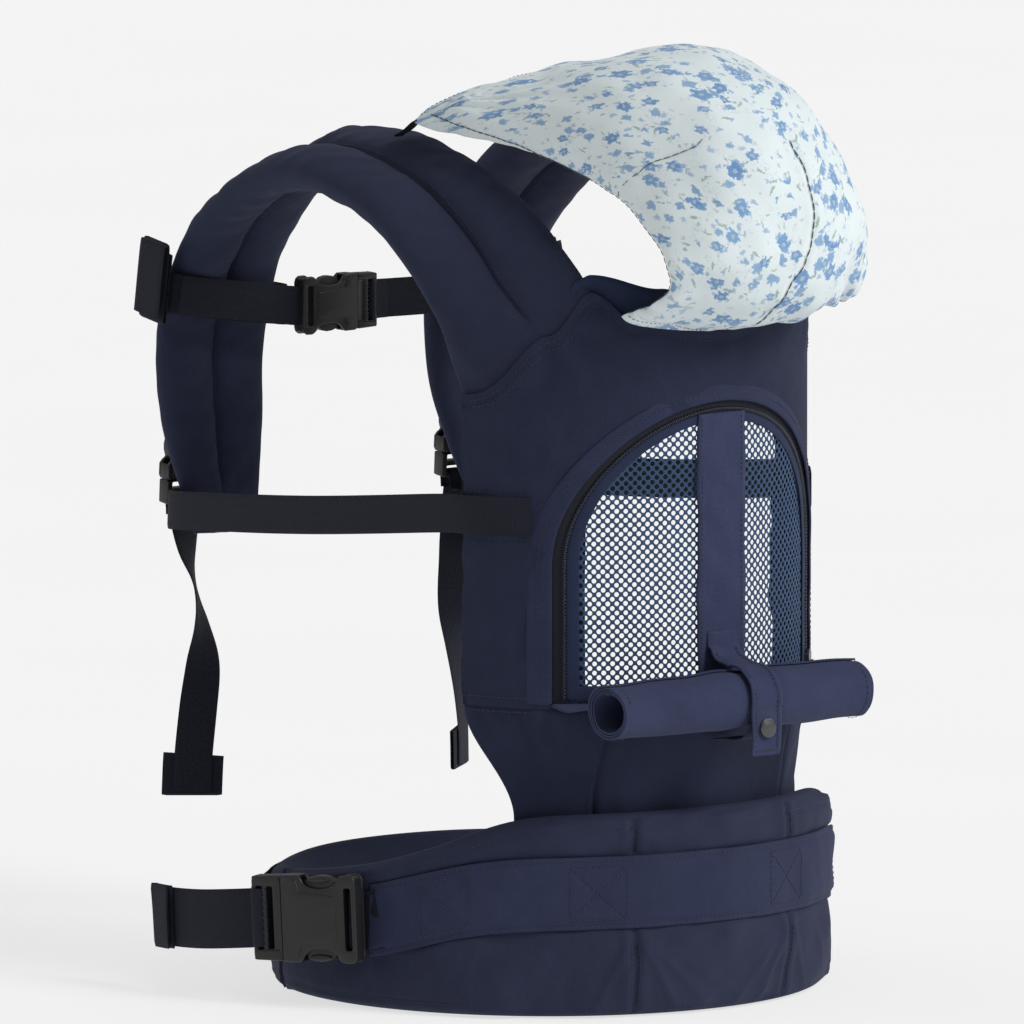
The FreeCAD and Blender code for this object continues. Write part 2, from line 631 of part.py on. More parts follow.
# ------------------------------------------------------------ side webbing
for sgn, side in ((-1, "right"), (1, "left")):
    plan = [(113.5, -126.0), (124.5, -110.5), (132.8, -91.0), (137.5, -62.0), (142.5, 0.0), (147.0, 70.0),
            (149.5, 135.0), (149.5, 178.0), (147.5, 203.0), (141.0, 216.0), (130.0, 221.5)]
    heights = [320, 320, 319.5, 318.5, 313, 306, 299.5, 295.5, 293.5, 292.5, 292]
    pts = [(sgn * px, py) for px, py in plan]
    coded(side + "_side_webbing", plan_band(pts, lambda i: heights[i], S["web"], WT, 1.0 if sgn > 0 else -1.0))
    # the loose tail hangs from the plug's ladder bar and turns half way down
    ax = sgn * 112.0
    drop = [(285.0, 0.0, 0.0, 238.0), (262.0, 25.0, -1.0, 236.0), (238.0, 52.0, -5.0, 233.0),
            (212.0, 30.0, -8.0, 230.0), (186.0, -10.0, -8.0, 229.0), (158.0, -30.0, -5.0, 230.0),
            (128.0, -38.0, -2.0, 231.0)]
    st = []
    for z, turn, dx, y in drop:
        q = math.radians(-turn * sgn)
        st.append((V(ax + sgn * dx, y, z), V(math.cos(q), math.sin(q), 0), V(-math.sin(q), math.cos(q), 0)))
    tail = band(st, S["web"] - 1, WT)
    c, acr, out = st[-1]
    wires = [rect_wire(c + V(0, 0, 0.5), acr, out, 40, 4.2, -1.4), rect_wire(c + V(0, 0, -24), acr, out, 40, 4.2, -1.4)]
    coded(side + "_side_tail", tail.fuse(Part.makeLoft(wires, True, True)).removeSplitter())
    # a short tab sews the socket's bar to the back of the strap
    tab = [V(ax, 231.6, 354.4), V(ax, 230.8, 362.0), V(ax, 229.6, 372.0), V(ax, 229.0, 384.0)]
    st = [(q, V(1, 0, 0), V(0, 1, 0)) for q in tab]
    coded(side + "_strap_buckle_tab", band(st, S["web"], WT))

# waist webbing: the loose tail that leaves the plug and its folded end
pts = [V(-215.8, 30.4, 54.7), V(-221.5, 48.0, 52.7), V(-225.0, 68.0, 50.5), V(-225.5, 86.0, 49.0), V(-224.5, 102.0, 48.0)]
st = []
for i, p in enumerate(pts):
    tan = pts[min(i + 1, 4)] - pts[max(i - 1, 0)]
    tan.z = 0
    tan.normalize()
    st.append((p, V(0, 0, 1), V(-tan.y, tan.x, 0)))
tail = band(st, S["waist_web"], WT)
tan = pts[-1] - pts[-2]
tan.z = 0
tan.normalize()
out = V(-tan.y, tan.x, 0)
e0 = pts[-1] - tan * 0.5
wires = [rect_wire(e0, V(0, 0, 1), out, 46, 5.0, -1.6), rect_wire(e0 + tan * 24 + V(0, 0, -3), V(0, 0, 1), out, 46, 5.0, -1.6)]
coded("waist_webbing_tail", tail.fuse(Part.makeLoft(wires, True, True)).removeSplitter())

# --------------------------------------- rolled window cover and its stud tab
roll = doc.addObject("Part::Cylinder", "Roll")
roll.setExpression("Radius", "Sizes.roll_radius")
roll.setExpression("Height", "Sizes.roll_half * 2")
roll.Placement = FreeCAD.Placement(V(S["roll_mid"] - S["roll_half"], S["roll_y"], S["roll_z"]) + SHIFT,
                                   FreeCAD.Rotation(V(0, 1, 0), 90))
keep(roll, "window_flap_roll")


def strip(path, x0, x1, t):
    """A strip of fabric whose side view is a curve in the YZ plane."""
    curve = spline([(0, y, z) for y, z in path])
    n = 24
    a, b = [], []
    for i in range(n + 1):
        u = curve.FirstParameter + (curve.LastParameter - curve.FirstParameter) * i / n
        p = curve.value(u)
        d = curve.tangent(u)[0]
        nrm = V(0, -d.z, d.y)
        a.append((x0, p.y, p.z))
        b.append((x0, p.y + nrm.y * t, p.z + nrm.z * t))
    ea, eb = spline(a).toShape(), spline(b).toShape()
    wire = Part.Wire([ea, Part.makeLine(V(*a[-1]), V(*b[-1])), eb, Part.makeLine(V(*b[0]), V(*a[0]))])
    return Part.Face(wire).extrude(V(x1 - x0, 0, 0))


RY, RZ, RR = S["roll_y"], S["roll_z"], S["roll_radius"]


def on_roll(deg, r):
    q = math.radians(deg)
    return (RY + r * math.cos(q), RZ + r * math.sin(q))


arc = [(-180.5, 230.0)] + [on_roll(d, RR + 1.0) for d in (72, 95, 120, 145, 170, 190)]
coded("flap_retaining_strap", strip(arc, -12, 12, -1.2))
tab = [on_roll(193, RR + 1.0), (RY - 20.6, 190.0), (RY - 19.6, 179.0), (RY - 18.8, 167.0)]
coded("flap_snap_tab", strip(tab, -12, 12, -1.2))
under = [(-180.5, 175.0), (-194.0, 177.0), (-205.0, 177.6), (-213.0, 179.6), (-218.4, 184.5), (-220.6, 190.5)]
coded("flap_stud_tab", strip([(y, z) for y, z in under], -11, 11, 1.0))


def turned(label, profile, at, axis_out):
    """A small turned piece: profile of (height, radius) revolved about `out`."""
    b = doc.addObject("PartDesign::Body", "B_" + label)
    sk = sketch(b, label + "_sk", "XZ_Plane")
    poly(sk, [(r, hgt) for hgt, r in profile])
    f = b.newObject("PartDesign::Revolution", label + "_turn")
    f.Profile = sk
    f.ReferenceAxis = (sk, ["V_Axis"])
    f.Angle = 360
    doc.recompute()
    z = V(*axis_out)
    z.normalize()
    b.Placement = FreeCAD.Placement(V(*at) + SHIFT, FreeCAD.Rotation(V(0, 0, 1), z))
    return keep(b, label)


SR = S["snap_radius"]
SZ = 186.5
sy = RY - 20.3 - 1.75
turned("snap_stud", [(0.0, 0), (0.0, 4.6), (0.5, 4.6), (0.5, 2.2), (1.5, 2.0), (1.5, 0)], (0, RY - 18.5, SZ), (0, -1, 0.06))
turned("snap_cap", [(0.3, 0), (0.3, SR), (1.1, SR), (1.9, SR * 0.82), (2.4, SR * 0.42), (2.5, 0)], (0, sy, SZ), (0, -1, 0.06))

# ------------------------------------------------------ zipper slider, pull
SX = W - 6.1
pa = math.asin(SX / A0)
px, py = SX, C0 - B0 * math.cos(pa)
nrm = V(math.sin(pa) / A0, -math.cos(pa) / B0, 0)
nrm.normalize()
tng = V(-nrm.y, nrm.x, 0)
zat = V(px, py, 214.0)
m = FreeCAD.Matrix(tng.x, 0, nrm.x, 0, tng.y, 0, nrm.y, 0, 0, 1, 0, 0, 0, 0, 0, 1)
xx, zz = tng, nrm
yy = zz.cross(xx)
m = FreeCAD.Matrix(xx.x, yy.x, zz.x, 0, xx.y, yy.y, zz.y, 0, xx.z, yy.z, zz.z, 0, 0, 0, 0, 1)
zplace = FreeCAD.Placement(zat + SHIFT, FreeCAD.Placement(m).Rotation)
b = doc.addObject("PartDesign::Body", "B_slider")
sk = sketch(b, "slider_sk")
poly(sk, [(-5.2, -5.5), (5.2, -5.5), (5.2, 3.0), (2.6, 6.0), (-2.6, 6.0), (-5.2, 3.0)])
f = pad(b, "slider_pad", sk, 9.2, both=True)
sk = sketch(b, "slider_channel_sk", "XZ_Plane")
rect(sk, -4.45, 4.45, -6.0, 3.2)
pocket(b, "slider_channel", sk, 30)
sk = sketch(b, "slider_under_sk", "XZ_Plane")
rect(sk, -6.0, 6.0, -6.0, 0.85)
pocket(b, "slider_under", sk, 30)
b.Placement = zplace
keep(b, "zipper_slider")
b = doc.addObject("PartDesign::Body", "B_pull")
sk = sketch(b, "pull_sk")
poly(sk, [(-2.4, -19.0), (2.4, -19.0), (3.0, -16.0), (2.2, 0.0), (-2.2, 0.0), (-3.0, -16.0)])
pad(b, "pull_pad", sk, 1.4)
sk = sketch(b, "pull_hole_sk")
rect(sk, -1.1, 1.1, -4.5, -1.5)
pocket(b, "pull_hole", sk, 6)
pplace = FreeCAD.Placement(zat + nrm * 5.9 + V(0, 0, -1.0) + SHIFT, FreeCAD.Placement(m).Rotation)
b.Placement = pplace
keep(b, "zipper_pull")

# ------------------------------------------------------------------- hood
HOOD = [
    ((-179.5, 444.6), 84.0, (-154.5, 463.5)),
    ((-214.0, 447.0), 108.0, (-168.0, 462.0)),
    ((-238.0, 470.0), 116.0, (-166.0, 476.0)),
    ((-246.0, 510.0), 115.0, (-150.0, 496.0)),
    ((-234.0, 556.0), 104.0, (-120.0, 520.0)),
    ((-203.0, 592.0), 94.0, (-84.0, 538.0)),
    ((-150.0, 611.0), 91.0, (-44.0, 549.0)),
    ((-82.0, 604.0), 94.0, (-12.0, 555.5)),
    ((-14.0, 585.0), 99.0, (12.0, 559.0)),
]


# the hood sags towards the wearer's left, so its right hem is drawn in and forward
HOOD_RIGHT = [(72.0, (-165.0, 457.5)), (68.0, (-198.0, 467.0)), (72.0, (-205.0, 487.0)),
              (75.0, (-189.0, 503.0)), (80.0, (-155.0, 526.0)), (88.0, (-93.0, 545.0)),
              (94.0, (-48.5, 552.0)), (99.5, (-11.0, 555.5)), (100.0, (12.0, 559.0))]


def through(rows, n):
    """Rows of numbers, with n - 1 more between each pair on a smooth curve."""
    out = []
    for i in range(len(rows) - 1):
        a, b, c, d = (rows[min(max(i + k, 0), len(rows) - 1)] for k in (-1, 0, 1, 2))
        for j in range(n):
            t = j / float(n)
            out.append([0.5 * (2 * q + (r - p) * t + (2 * p - 5 * q + 4 * r - u) * t * t + (3 * q - p - 3 * r + u) * t ** 3)
                        for p, q, r, u in zip(a, b, c, d)])
    return out + [list(rows[-1])]


def hood_grid(inset):
    grid = []
    rows = [[yc, zc, wl, yl, zl, wr, yr, zr] for ((yc, zc), wl, (yl, zl)), (wr, (yr, zr)) in zip(HOOD, HOOD_RIGHT)]
    for yc, zc, wl, yl, zl, wr, yr, zr in through(rows, 4):
        row = []
        for j in range(17):
            q = -1 + 2 * j / 16.0
            g = 1 - math.cos(q * math.pi / 2)
            k = min(1.0, max(0.0, (q + 0.75) / 1.5))
            k = k * k * (3 - 2 * k)
            w, ye, ze = wr + (wl - wr) * k, yr + (yl - yr) * k, zr + (zl - zr) * k
            x = w * math.sin(q * math.pi / 2)
            y = yc + (ye - yc) * g
            z = zc + (ze - zc) * g
            d = V(x, y + 90, z - 470)
            d.normalize()
            row.append((x - d.x * inset, y - d.y * inset, z - d.z * inset))
        grid.append(row)
    return grid


coded("hood", grid_solid(hood_grid(0.0), hood_grid(1.2)))
# elastic in the hood's neck hem, between the hood and the panel's top edge
ELAST = []
for j in range(13):
    q = -1 + 2 * j / 12.0
    x = 74.0 * math.sin(q * math.pi / 2)
    g = abs(q) ** 3
    ELAST.append((V(x, -170.0 + 22.0 * g, 446.0 + 12.0 * g), V(0, 0, 1), V(0, 1, 0)))
# corner ties hold the hood's points to the straps
for sgn, side in ((-1, "right"), (1, "left")):
    c = V(sgn * 98.5, 13.2, 557.6)
    wires = [rect_wire(c + V(0, k * 7.0, -k * 4.0), V(sgn, 0, 0), V(0, 0.5, 0.87), 8.0, 1.2) for k in range(3)]
    coded(side + "_hood_tie", Part.makeLoft(wires, True, False))

# ------------------------------------------------------- checks, then files
doc.recompute()
bad = []
for o in doc.Objects:
    if any(s in ("Invalid", "Error") for s in o.State):
        bad.append((o.Name, o.State))
box = None
for o, label in PARTS:
    sh = o.Shape
    if sh.isNull() or not sh.isValid() or sh.Volume <= 0:
        bad.append((label, "null, invalid or empty"))
    if box is None:
        box = FreeCAD.BoundBox(sh.BoundBox)
    else:
        box.add(sh.BoundBox)
if len({l for _, l in PARTS}) != len(PARTS) or len(PARTS) > 60:
    bad.append(("labels", len(PARTS)))
if bad:
    raise RuntimeError(str(bad))
for o, label in PARTS:
    o.Shape.exportStep("parts/%s.step" % label)
print("nodes", len(PARTS))
print("box", [round(v, 2) for v in (box.XMin, box.XMax, box.YMin, box.YMax, box.ZMin, box.ZMax)])
print("centre offset", round((box.XMin + box.XMax) / 2, 3), round((box.YMin + box.YMax) / 2, 3))
for k, v in sorted(ORIGIN.items()):
    print(k, [round(c, 3) for c in v])
print("slider", [round(c, 3) for c in zplace.Base], "normal", [round(c, 4) for c in nrm], "tangent", [round(c, 4) for c in tng])
print("pull", [round(c, 3) for c in pplace.Base])
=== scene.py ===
"""Soft baby carrier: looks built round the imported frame. Lengths in this file are
millimetres in the carrier's own layout (belt centre at 0,0) until `place` puts them
into the frame in metres."""
import bpy
import json
import math
import random
import numpy as np
from mathutils import Vector, Matrix
from mathutils.geometry import delaunay_2d_cdt


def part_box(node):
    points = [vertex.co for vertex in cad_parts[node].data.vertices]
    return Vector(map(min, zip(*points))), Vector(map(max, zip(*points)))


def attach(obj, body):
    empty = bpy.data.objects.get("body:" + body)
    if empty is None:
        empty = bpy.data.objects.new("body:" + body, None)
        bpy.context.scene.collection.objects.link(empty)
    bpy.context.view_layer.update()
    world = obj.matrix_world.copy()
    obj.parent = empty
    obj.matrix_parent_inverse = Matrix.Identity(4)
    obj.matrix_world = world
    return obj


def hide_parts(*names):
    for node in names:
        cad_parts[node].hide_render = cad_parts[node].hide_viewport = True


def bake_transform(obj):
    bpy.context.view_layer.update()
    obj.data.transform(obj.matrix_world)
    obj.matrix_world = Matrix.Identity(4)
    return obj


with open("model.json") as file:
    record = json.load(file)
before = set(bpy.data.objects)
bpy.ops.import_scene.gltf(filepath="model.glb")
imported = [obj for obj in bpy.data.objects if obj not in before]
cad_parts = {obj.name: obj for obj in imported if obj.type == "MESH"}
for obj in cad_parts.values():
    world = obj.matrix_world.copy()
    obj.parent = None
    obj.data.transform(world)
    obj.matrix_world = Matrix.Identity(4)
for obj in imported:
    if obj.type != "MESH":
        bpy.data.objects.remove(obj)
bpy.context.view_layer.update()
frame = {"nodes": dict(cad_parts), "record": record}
SX, SY = 23.506, -0.474
BODY_OF = {n: b for b, ns in frame["record"]["behaviour"]["bodies"].items() for n in ns}
RAD = math.radians
pi = math.pi


# =====================================================================
# small helpers
# =====================================================================
class Wob:
    """Smooth repeatable noise of about unit size, from summed sines."""

    def __init__(self, seed, scale, n=14, stretch=(1, 1, 1)):
        r = np.random.RandomState(seed)
        d = r.normal(size=(n, 3))
        d /= np.linalg.norm(d, axis=1)[:, None]
        self.k = d * (2 * pi / scale) * r.uniform(0.6, 1.6, (n, 1)) * np.array(stretch)
        self.ph = r.uniform(0, 2 * pi, n)
        self.n = n

    def __call__(self, p):
        p = np.asarray(p, float)
        return np.sin(p @ self.k.T + self.ph).sum(-1) / math.sqrt(self.n / 2.0)


def smooth01(t):
    t = np.clip(t, 0, 1)
    return t * t * (3 - 2 * t)


def lerp(table, x):
    """Smooth-stepped reading of a table, for arrays."""
    x = np.asarray(x, float)
    out = np.full(x.shape, float(table[0][1]))
    for (x0, y0), (x1, y1) in zip(table, table[1:]):
        k = smooth01((x - x0) / (x1 - x0))
        out = np.where(x >= x0, y0 + (y1 - y0) * k, out)
    return out


def catmull(points, n, closed=False):
    """Points on a smooth curve through the given rows, n per span."""
    p = np.asarray(points, float)
    if closed:
        q = np.vstack([p[-1], p, p[0], p[1]])
        spans = len(p)
    else:
        q = np.vstack([2 * p[0] - p[1], p, 2 * p[-1] - p[-2]])
        spans = len(p) - 1
    out = []
    for i in range(spans):
        a, b, c, d = q[i], q[i + 1], q[i + 2], q[i + 3]
        for t in np.arange(n) / n:
            out.append(0.5 * ((2 * b) + (c - a) * t + (2 * a - 5 * b + 4 * c - d) * t * t
                              + (3 * b - 3 * c + d - a) * t ** 3))
    if not closed:
        out.append(p[-1])
    return np.array(out)


def resample(p, step=None, n=None):
    p = np.asarray(p, float)
    d = np.r_[0, np.cumsum(np.linalg.norm(np.diff(p[:, :3], axis=0), axis=1))]
    if n is None:
        n = max(2, int(round(d[-1] / step)) + 1)
    t = np.linspace(0, d[-1], n)
    return np.stack([np.interp(t, d, p[:, k]) for k in range(p.shape[1])], -1), t


def unit(v):
    v = np.asarray(v, float)
    return v / np.maximum(np.linalg.norm(v, axis=-1, keepdims=True), 1e-9)


def place(p):
    q = np.array(p, float).reshape(-1, 3).copy()
    q[:, 0] += SX
    q[:, 1] += SY
    return q / 1000.0


class Bag:
    """Collects vertices, faces and UVs (metres) of one piece."""

    def __init__(self):
        self.v, self.f, self.uv, self.m, self.n = [], [], [], [], 0

    def add(self, v, f, uv=None, mat=0):
        v = np.asarray(v, float).reshape(-1, 3)
        self.v.append(v)
        self.f += [tuple(int(i) + self.n for i in face) for face in f]
        self.m += [mat] * len(f)
        if uv is None:
            uv = np.stack([v[:, 0] + 0.3 * v[:, 1], v[:, 2] + 0.2 * v[:, 1]], -1) / 1000.0
        self.uv.append(np.asarray(uv, float).reshape(-1, 2))
        self.n += len(v)
        return self

    def object(self, name, *mats, smooth=True, sharp=None, merge=None):
        v = np.vstack(self.v)
        uv = np.vstack(self.uv)
        me = bpy.data.meshes.new(name)
        me.from_pydata(place(v).tolist(), [], self.f)
        me.update()
        layer = me.uv_layers.new(name="UVMap")
        idx = np.zeros(len(me.loops), np.int32)
        me.loops.foreach_get("vertex_index", idx)
        layer.data.foreach_set("uv", uv[idx].astype(np.float32).ravel())
        for mt in mats:
            me.materials.append(mt)
        if len(self.m) == len(me.polygons):
            me.polygons.foreach_set("material_index", np.array(self.m, np.int32))
        me.polygons.foreach_set("use_smooth", np.full(len(me.polygons), smooth, bool))
        if merge:
            import bmesh
            bm = bmesh.new()
            bm.from_mesh(me)
            bmesh.ops.remove_doubles(bm, verts=bm.verts, dist=merge / 1000.0)
            bm.to_mesh(me)
            bm.free()
        if sharp:
            me.set_sharp_from_angle(angle=RAD(sharp))
        me.validate()
        ob = bpy.data.objects.new(name, me)
        bpy.context.scene.collection.objects.link(ob)
        return ob


def grid_faces(nr, nc, wrap_r=False, wrap_c=False, flip=False):
    f = []
    for i in range(nr if wrap_r else nr - 1):
        for j in range(nc if wrap_c else nc - 1):
            a, b = i * nc + j, i * nc + (j + 1) % nc
            c, d = ((i + 1) % nr) * nc + (j + 1) % nc, ((i + 1) % nr) * nc + j
            f.append((a, d, c, b) if flip else (a, b, c, d))
    return f


def fan(ring, flip=False):
    r = list(ring)
    return [tuple(r[::-1] if flip else r)]


def solidify(ob, t, offset=-1.0, rim=True):
    m = ob.modifiers.new("thick", "SOLIDIFY")
    m.thickness = t / 1000.0
    m.offset = offset
    m.use_rim = rim
    m.use_even_offset = False
    return ob


def subsurf(ob, n=1):
    m = ob.modifiers.new("sub", "SUBSURF")
    m.levels = m.render_levels = n
    return ob


def bake_mods(ob):
    """Applies every modifier, so the mesh is final."""
    dg = bpy.context.evaluated_depsgraph_get()
    me = bpy.data.meshes.new_from_object(ob.evaluated_get(dg), preserve_all_data_layers=True, depsgraph=dg)
    ob.modifiers.clear()
    ob.data = me
    return ob


def put(ob, body="carrier", nodes=()):
    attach(ob, body)
    if nodes:
        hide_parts(*nodes)
    return ob


def cloth(ob, held, *rests_on, laid_out=True):
    """Works out the flat size of a piece of cloth's cut; nothing keeps the result.

    The size comes from the piece's own layout, in metres, or from the surface
    where the layout is only for the weave."""
    me = ob.data
    n = len(me.loops)
    uv = np.zeros(n * 2)
    me.uv_layers["UVMap"].data.foreach_get("uv", uv)
    uv = uv.reshape(-1, 2)
    w, l = uv.max(0) - uv.min(0)
    if laid_out:
        a = 0.0
        for q in me.polygons:
            c = uv[q.loop_start:q.loop_start + q.loop_total]
            a += abs(np.sum(c[:, 0] * np.roll(c[:, 1], -1) - c[:, 1] * np.roll(c[:, 0], -1))) / 2
        a /= 2
    else:
        a = sum(q.area for q in me.polygons) / 2
        l = a / w * 1.02


def inside(poly, pts):
    """Even-odd test of many points."""
    poly = np.asarray(poly)
    x, y = pts[:, 0], pts[:, 1]
    res = np.zeros(len(pts), bool)
    j = len(poly) - 1
    for i in range(len(poly)):
        xi, yi, xj, yj = poly[i, 0], poly[i, 1], poly[j, 0], poly[j, 1]
        cond = ((yi > y) != (yj > y))
        with np.errstate(divide="ignore", invalid="ignore"):
            xx = (xj - xi) * (y - yi) / (yj - yi) + xi
        res ^= cond & (x < xx)
        j = i
    return res


def seg_dist(poly, pts, closed=True):
    """Distance of points from a polyline."""
    poly = np.asarray(poly, float)
    best = np.full(len(pts), 1e9)
    n = len(poly)
    for i in range(n if closed else n - 1):
        a, b = poly[i], poly[(i + 1) % n]
        ab = b - a
        t = np.clip(((pts - a) @ ab) / max(ab @ ab, 1e-12), 0, 1)
        best = np.minimum(best, np.linalg.norm(pts - (a + t[:, None] * ab), axis=1))
    return best


def region(outer, holes, step):
    """Even triangles in a flat region with holes. Returns points and triangles."""
    rings = [resample(np.vstack([r, r[:1]]), step=step * 0.8)[0][:-1] for r in [outer] + list(holes)]
    pts, edges = [], []
    for r in rings:
        k = len(pts)
        pts += [tuple(p) for p in r]
        edges += [(k + i, k + (i + 1) % len(r)) for i in range(len(r))]
    lo, hi = rings[0].min(0), rings[0].max(0)
    g = []
    dy = step * 0.866
    for j in range(int((hi[1] - lo[1]) / dy) + 2):
        for i in range(int((hi[0] - lo[0]) / step) + 2):
            g.append((lo[0] + (i + 0.5 * (j % 2)) * step, lo[1] + j * dy))
    g = np.array(g)
    ok = inside(rings[0], g)
    for r in rings[1:]:
        ok &= ~inside(r, g)
    g = g[ok]
    near = np.full(len(g), 1e9)
    for r in rings:
        near = np.minimum(near, seg_dist(r, g))
    g = g[near > step * 0.55]
    allp = [Vector(p) for p in pts] + [Vector(p) for p in g]
    out = delaunay_2d_cdt(allp, edges, [], 0, 1e-5)
    vv = np.array([tuple(p) for p in out[0]])
    ff = np.array([tuple(t) for t in out[2] if len(t) == 3])
    cen = vv[ff].mean(1)
    ok = inside(rings[0], cen)
    for r in rings[1:]:
        ok &= ~inside(r, cen)
    ff = ff[ok]
    # counter-clockwise
    a, b, c = vv[ff[:, 0]], vv[ff[:, 1]], vv[ff[:, 2]]
    area = (b[:, 0] - a[:, 0]) * (c[:, 1] - a[:, 1]) - (b[:, 1] - a[:, 1]) * (c[:, 0] - a[:, 0])
    ff[area < 0] = ff[area < 0][:, ::-1]
    return vv, ff


def stitches(bag, path, normal, length=2.7, gap=0.9, r=0.28, lift=0.12):
    """Rows of thread along a path (points, normals): little sunken capsules."""
    p, t = resample(np.hstack([path, normal]), step=length + gap)
    pos, nrm = p[:, :3], unit(p[:, 3:])
    for i in range(len(pos) - 1):
        a = pos[i]
        d = pos[i + 1] - pos[i]
        L = np.linalg.norm(d)
        if L < 0.5:
            continue
        d = d / L
        b = a + d * length * min(1.0, L / (length + gap))
        s = np.cross(nrm[i], d)
        ring = []
        rows = [(-0.02, 0.15, -0.25), (0.18, 0.85, 0.0), (0.5, 1.0, 0.08), (0.82, 0.85, 0.0), (1.02, 0.15, -0.25)]
        vs = []
        for (k, sc, dz) in rows:
            c = a + (b - a) * k + nrm[i] * (lift + dz)
            for q in range(6):
                an = q * pi / 3
                vs.append(c + s * math.cos(an) * r * sc + nrm[i] * math.sin(an) * r * sc * 0.8)
        bag.add(vs, grid_faces(5, 6, wrap_c=True), np.tile([[0.0, 0.0]], (30, 1)))


def ribbon(name, pts, across, width, thick, *mats, edge=0.35, cols=9, cup=None, uv0=0.0, closed=False, bag=None, mat=0):
    """Webbing: a rounded thin section swept along points. across is the width direction at each point."""
    pts = np.asarray(pts, float)
    across = unit(across)
    n = len(pts)
    width = np.broadcast_to(np.asarray(width, float), (n,))
    if closed:
        tan = unit(np.roll(pts, -1, 0) - np.roll(pts, 1, 0))
    else:
        tan = unit(np.gradient(pts, axis=0))
    across = unit(across - tan * (across * tan).sum(1)[:, None])
    out = np.cross(tan, across)
    prof = []
    h = thick / 2.0
    xs = np.linspace(-1, 1, cols)
    for x in xs:
        e = 1 - max(0.0, (abs(x) - 0.93) / 0.07) ** 2 * (1 - edge)
        prof.append((x, h * e))
    for x in xs[::-1]:
        e = 1 - max(0.0, (abs(x) - 0.93) / 0.07) ** 2 * (1 - edge)
        prof.append((x, -h * e))
    m = len(prof)
    d = np.r_[0, np.cumsum(np.linalg.norm(np.diff(pts, axis=0), axis=1))]
    v = np.zeros((n, m, 3))
    uv = np.zeros((n, m, 2))
    for j, (x, z) in enumerate(prof):
        c = 0 if cup is None else cup * (1 - x * x)
        v[:, j] = pts + across * (width / 2 * x)[:, None] + out * (z + c)
        uv[:, j, 0] = (d + uv0) / 1000.0
        uv[:, j, 1] = (width / 2 * x) / 1000.0 + (0.2 if j >= cols else 0.0)
    b = bag or Bag()
    faces = grid_faces(n, m, wrap_r=closed, wrap_c=True)
    b.add(v.reshape(-1, 3), faces, uv.reshape(-1, 2), mat)
    if not closed:
        base = b.n - n * m
        b.f += [tuple(base + k for k in range(m))[::-1], tuple(base + (n - 1) * m + k for k in range(m))]
        b.m += [mat, mat]
    if bag is not None:
        return b
    return b.object(name, *mats)


# =====================================================================
# materials
# =====================================================================
class Mat:
    def __init__(self, name):
        self.mat = bpy.data.materials.new(name)
        self.mat.use_nodes = True
        self.nt = self.mat.node_tree
        self.bsdf = self.nt.nodes["Principled BSDF"]

    def n(self, kind, **kw):
        nd = self.nt.nodes.new("ShaderNode" + kind)
        for k, v in kw.items():
            if k.startswith("i_"):
                key = k[2:].replace("_", " ")
                nd.inputs[int(key) if key.isdigit() else key].default_value = v
            else:
                setattr(nd, k, v)
        return nd

    def link(self, a, b):
        self.nt.links.new(a, b)
        return b

    def math(self, op, a, b=None, c=None, clamp=False):
        nd = self.n("Math", operation=op, use_clamp=clamp)
        for i, x in enumerate((a, b, c)):
            if x is None:
                continue
            if isinstance(x, (int, float)):
                nd.inputs[i].default_value = x
            else:
                self.link(x, nd.inputs[i])
        return nd.outputs[0]

    def mixc(self, fac, a, b, blend="MIX"):
        nd = self.n("Mix", data_type="RGBA", blend_type=blend)
        for sock, x in ((nd.inputs[0], fac), (nd.inputs[6], a), (nd.inputs[7], b)):
            if isinstance(x, (int, float)):
                sock.default_value = x
            elif isinstance(x, tuple):
                sock.default_value = (*x, 1) if len(x) == 3 else x
            else:
                self.link(x, sock)
        return nd.outputs[2]

    def uv(self):
        return self.n("UVMap", uv_map="UVMap").outputs[0]

    def obj(self):
        return self.n("TexCoord").outputs["Object"]

    def noise(self, vec, scale, detail=2.0, rough=0.5, dims="3D"):
        nd = self.n("TexNoise", noise_dimensions=dims)
        nd.inputs["Scale"].default_value = scale
        nd.inputs["Detail"].default_value = detail
        nd.inputs["Roughness"].default_value = rough
        self.link(vec, nd.inputs["Vector"])
        return nd.outputs["Fac"]

    def bump(self, height, strength, dist, normal=None):
        nd = self.n("Bump")
        nd.inputs["Strength"].default_value = strength
        nd.inputs["Distance"].default_value = dist
        self.link(height, nd.inputs["Height"])
        if normal is not None:
            self.link(normal, nd.inputs["Normal"])
        return nd.outputs["Normal"]

    def sep(self, vec):
        nd = self.n("SeparateXYZ")
        self.link(vec, nd.inputs[0])
        return nd.outputs

    def ramp(self, fac, stops):
        nd = self.n("ValToRGB")
        el = nd.color_ramp.elements
        while len(el) < len(stops):
            el.new(0.5)
        for e, (p, c) in zip(el, stops):
            e.position = p
            e.color = (*c, 1)
        self.link(fac, nd.inputs[0])
        return nd.outputs[0]

    def set(self, **kw):
        for k, v in kw.items():
            self.bsdf.inputs[k.replace("_", " ")].default_value = v


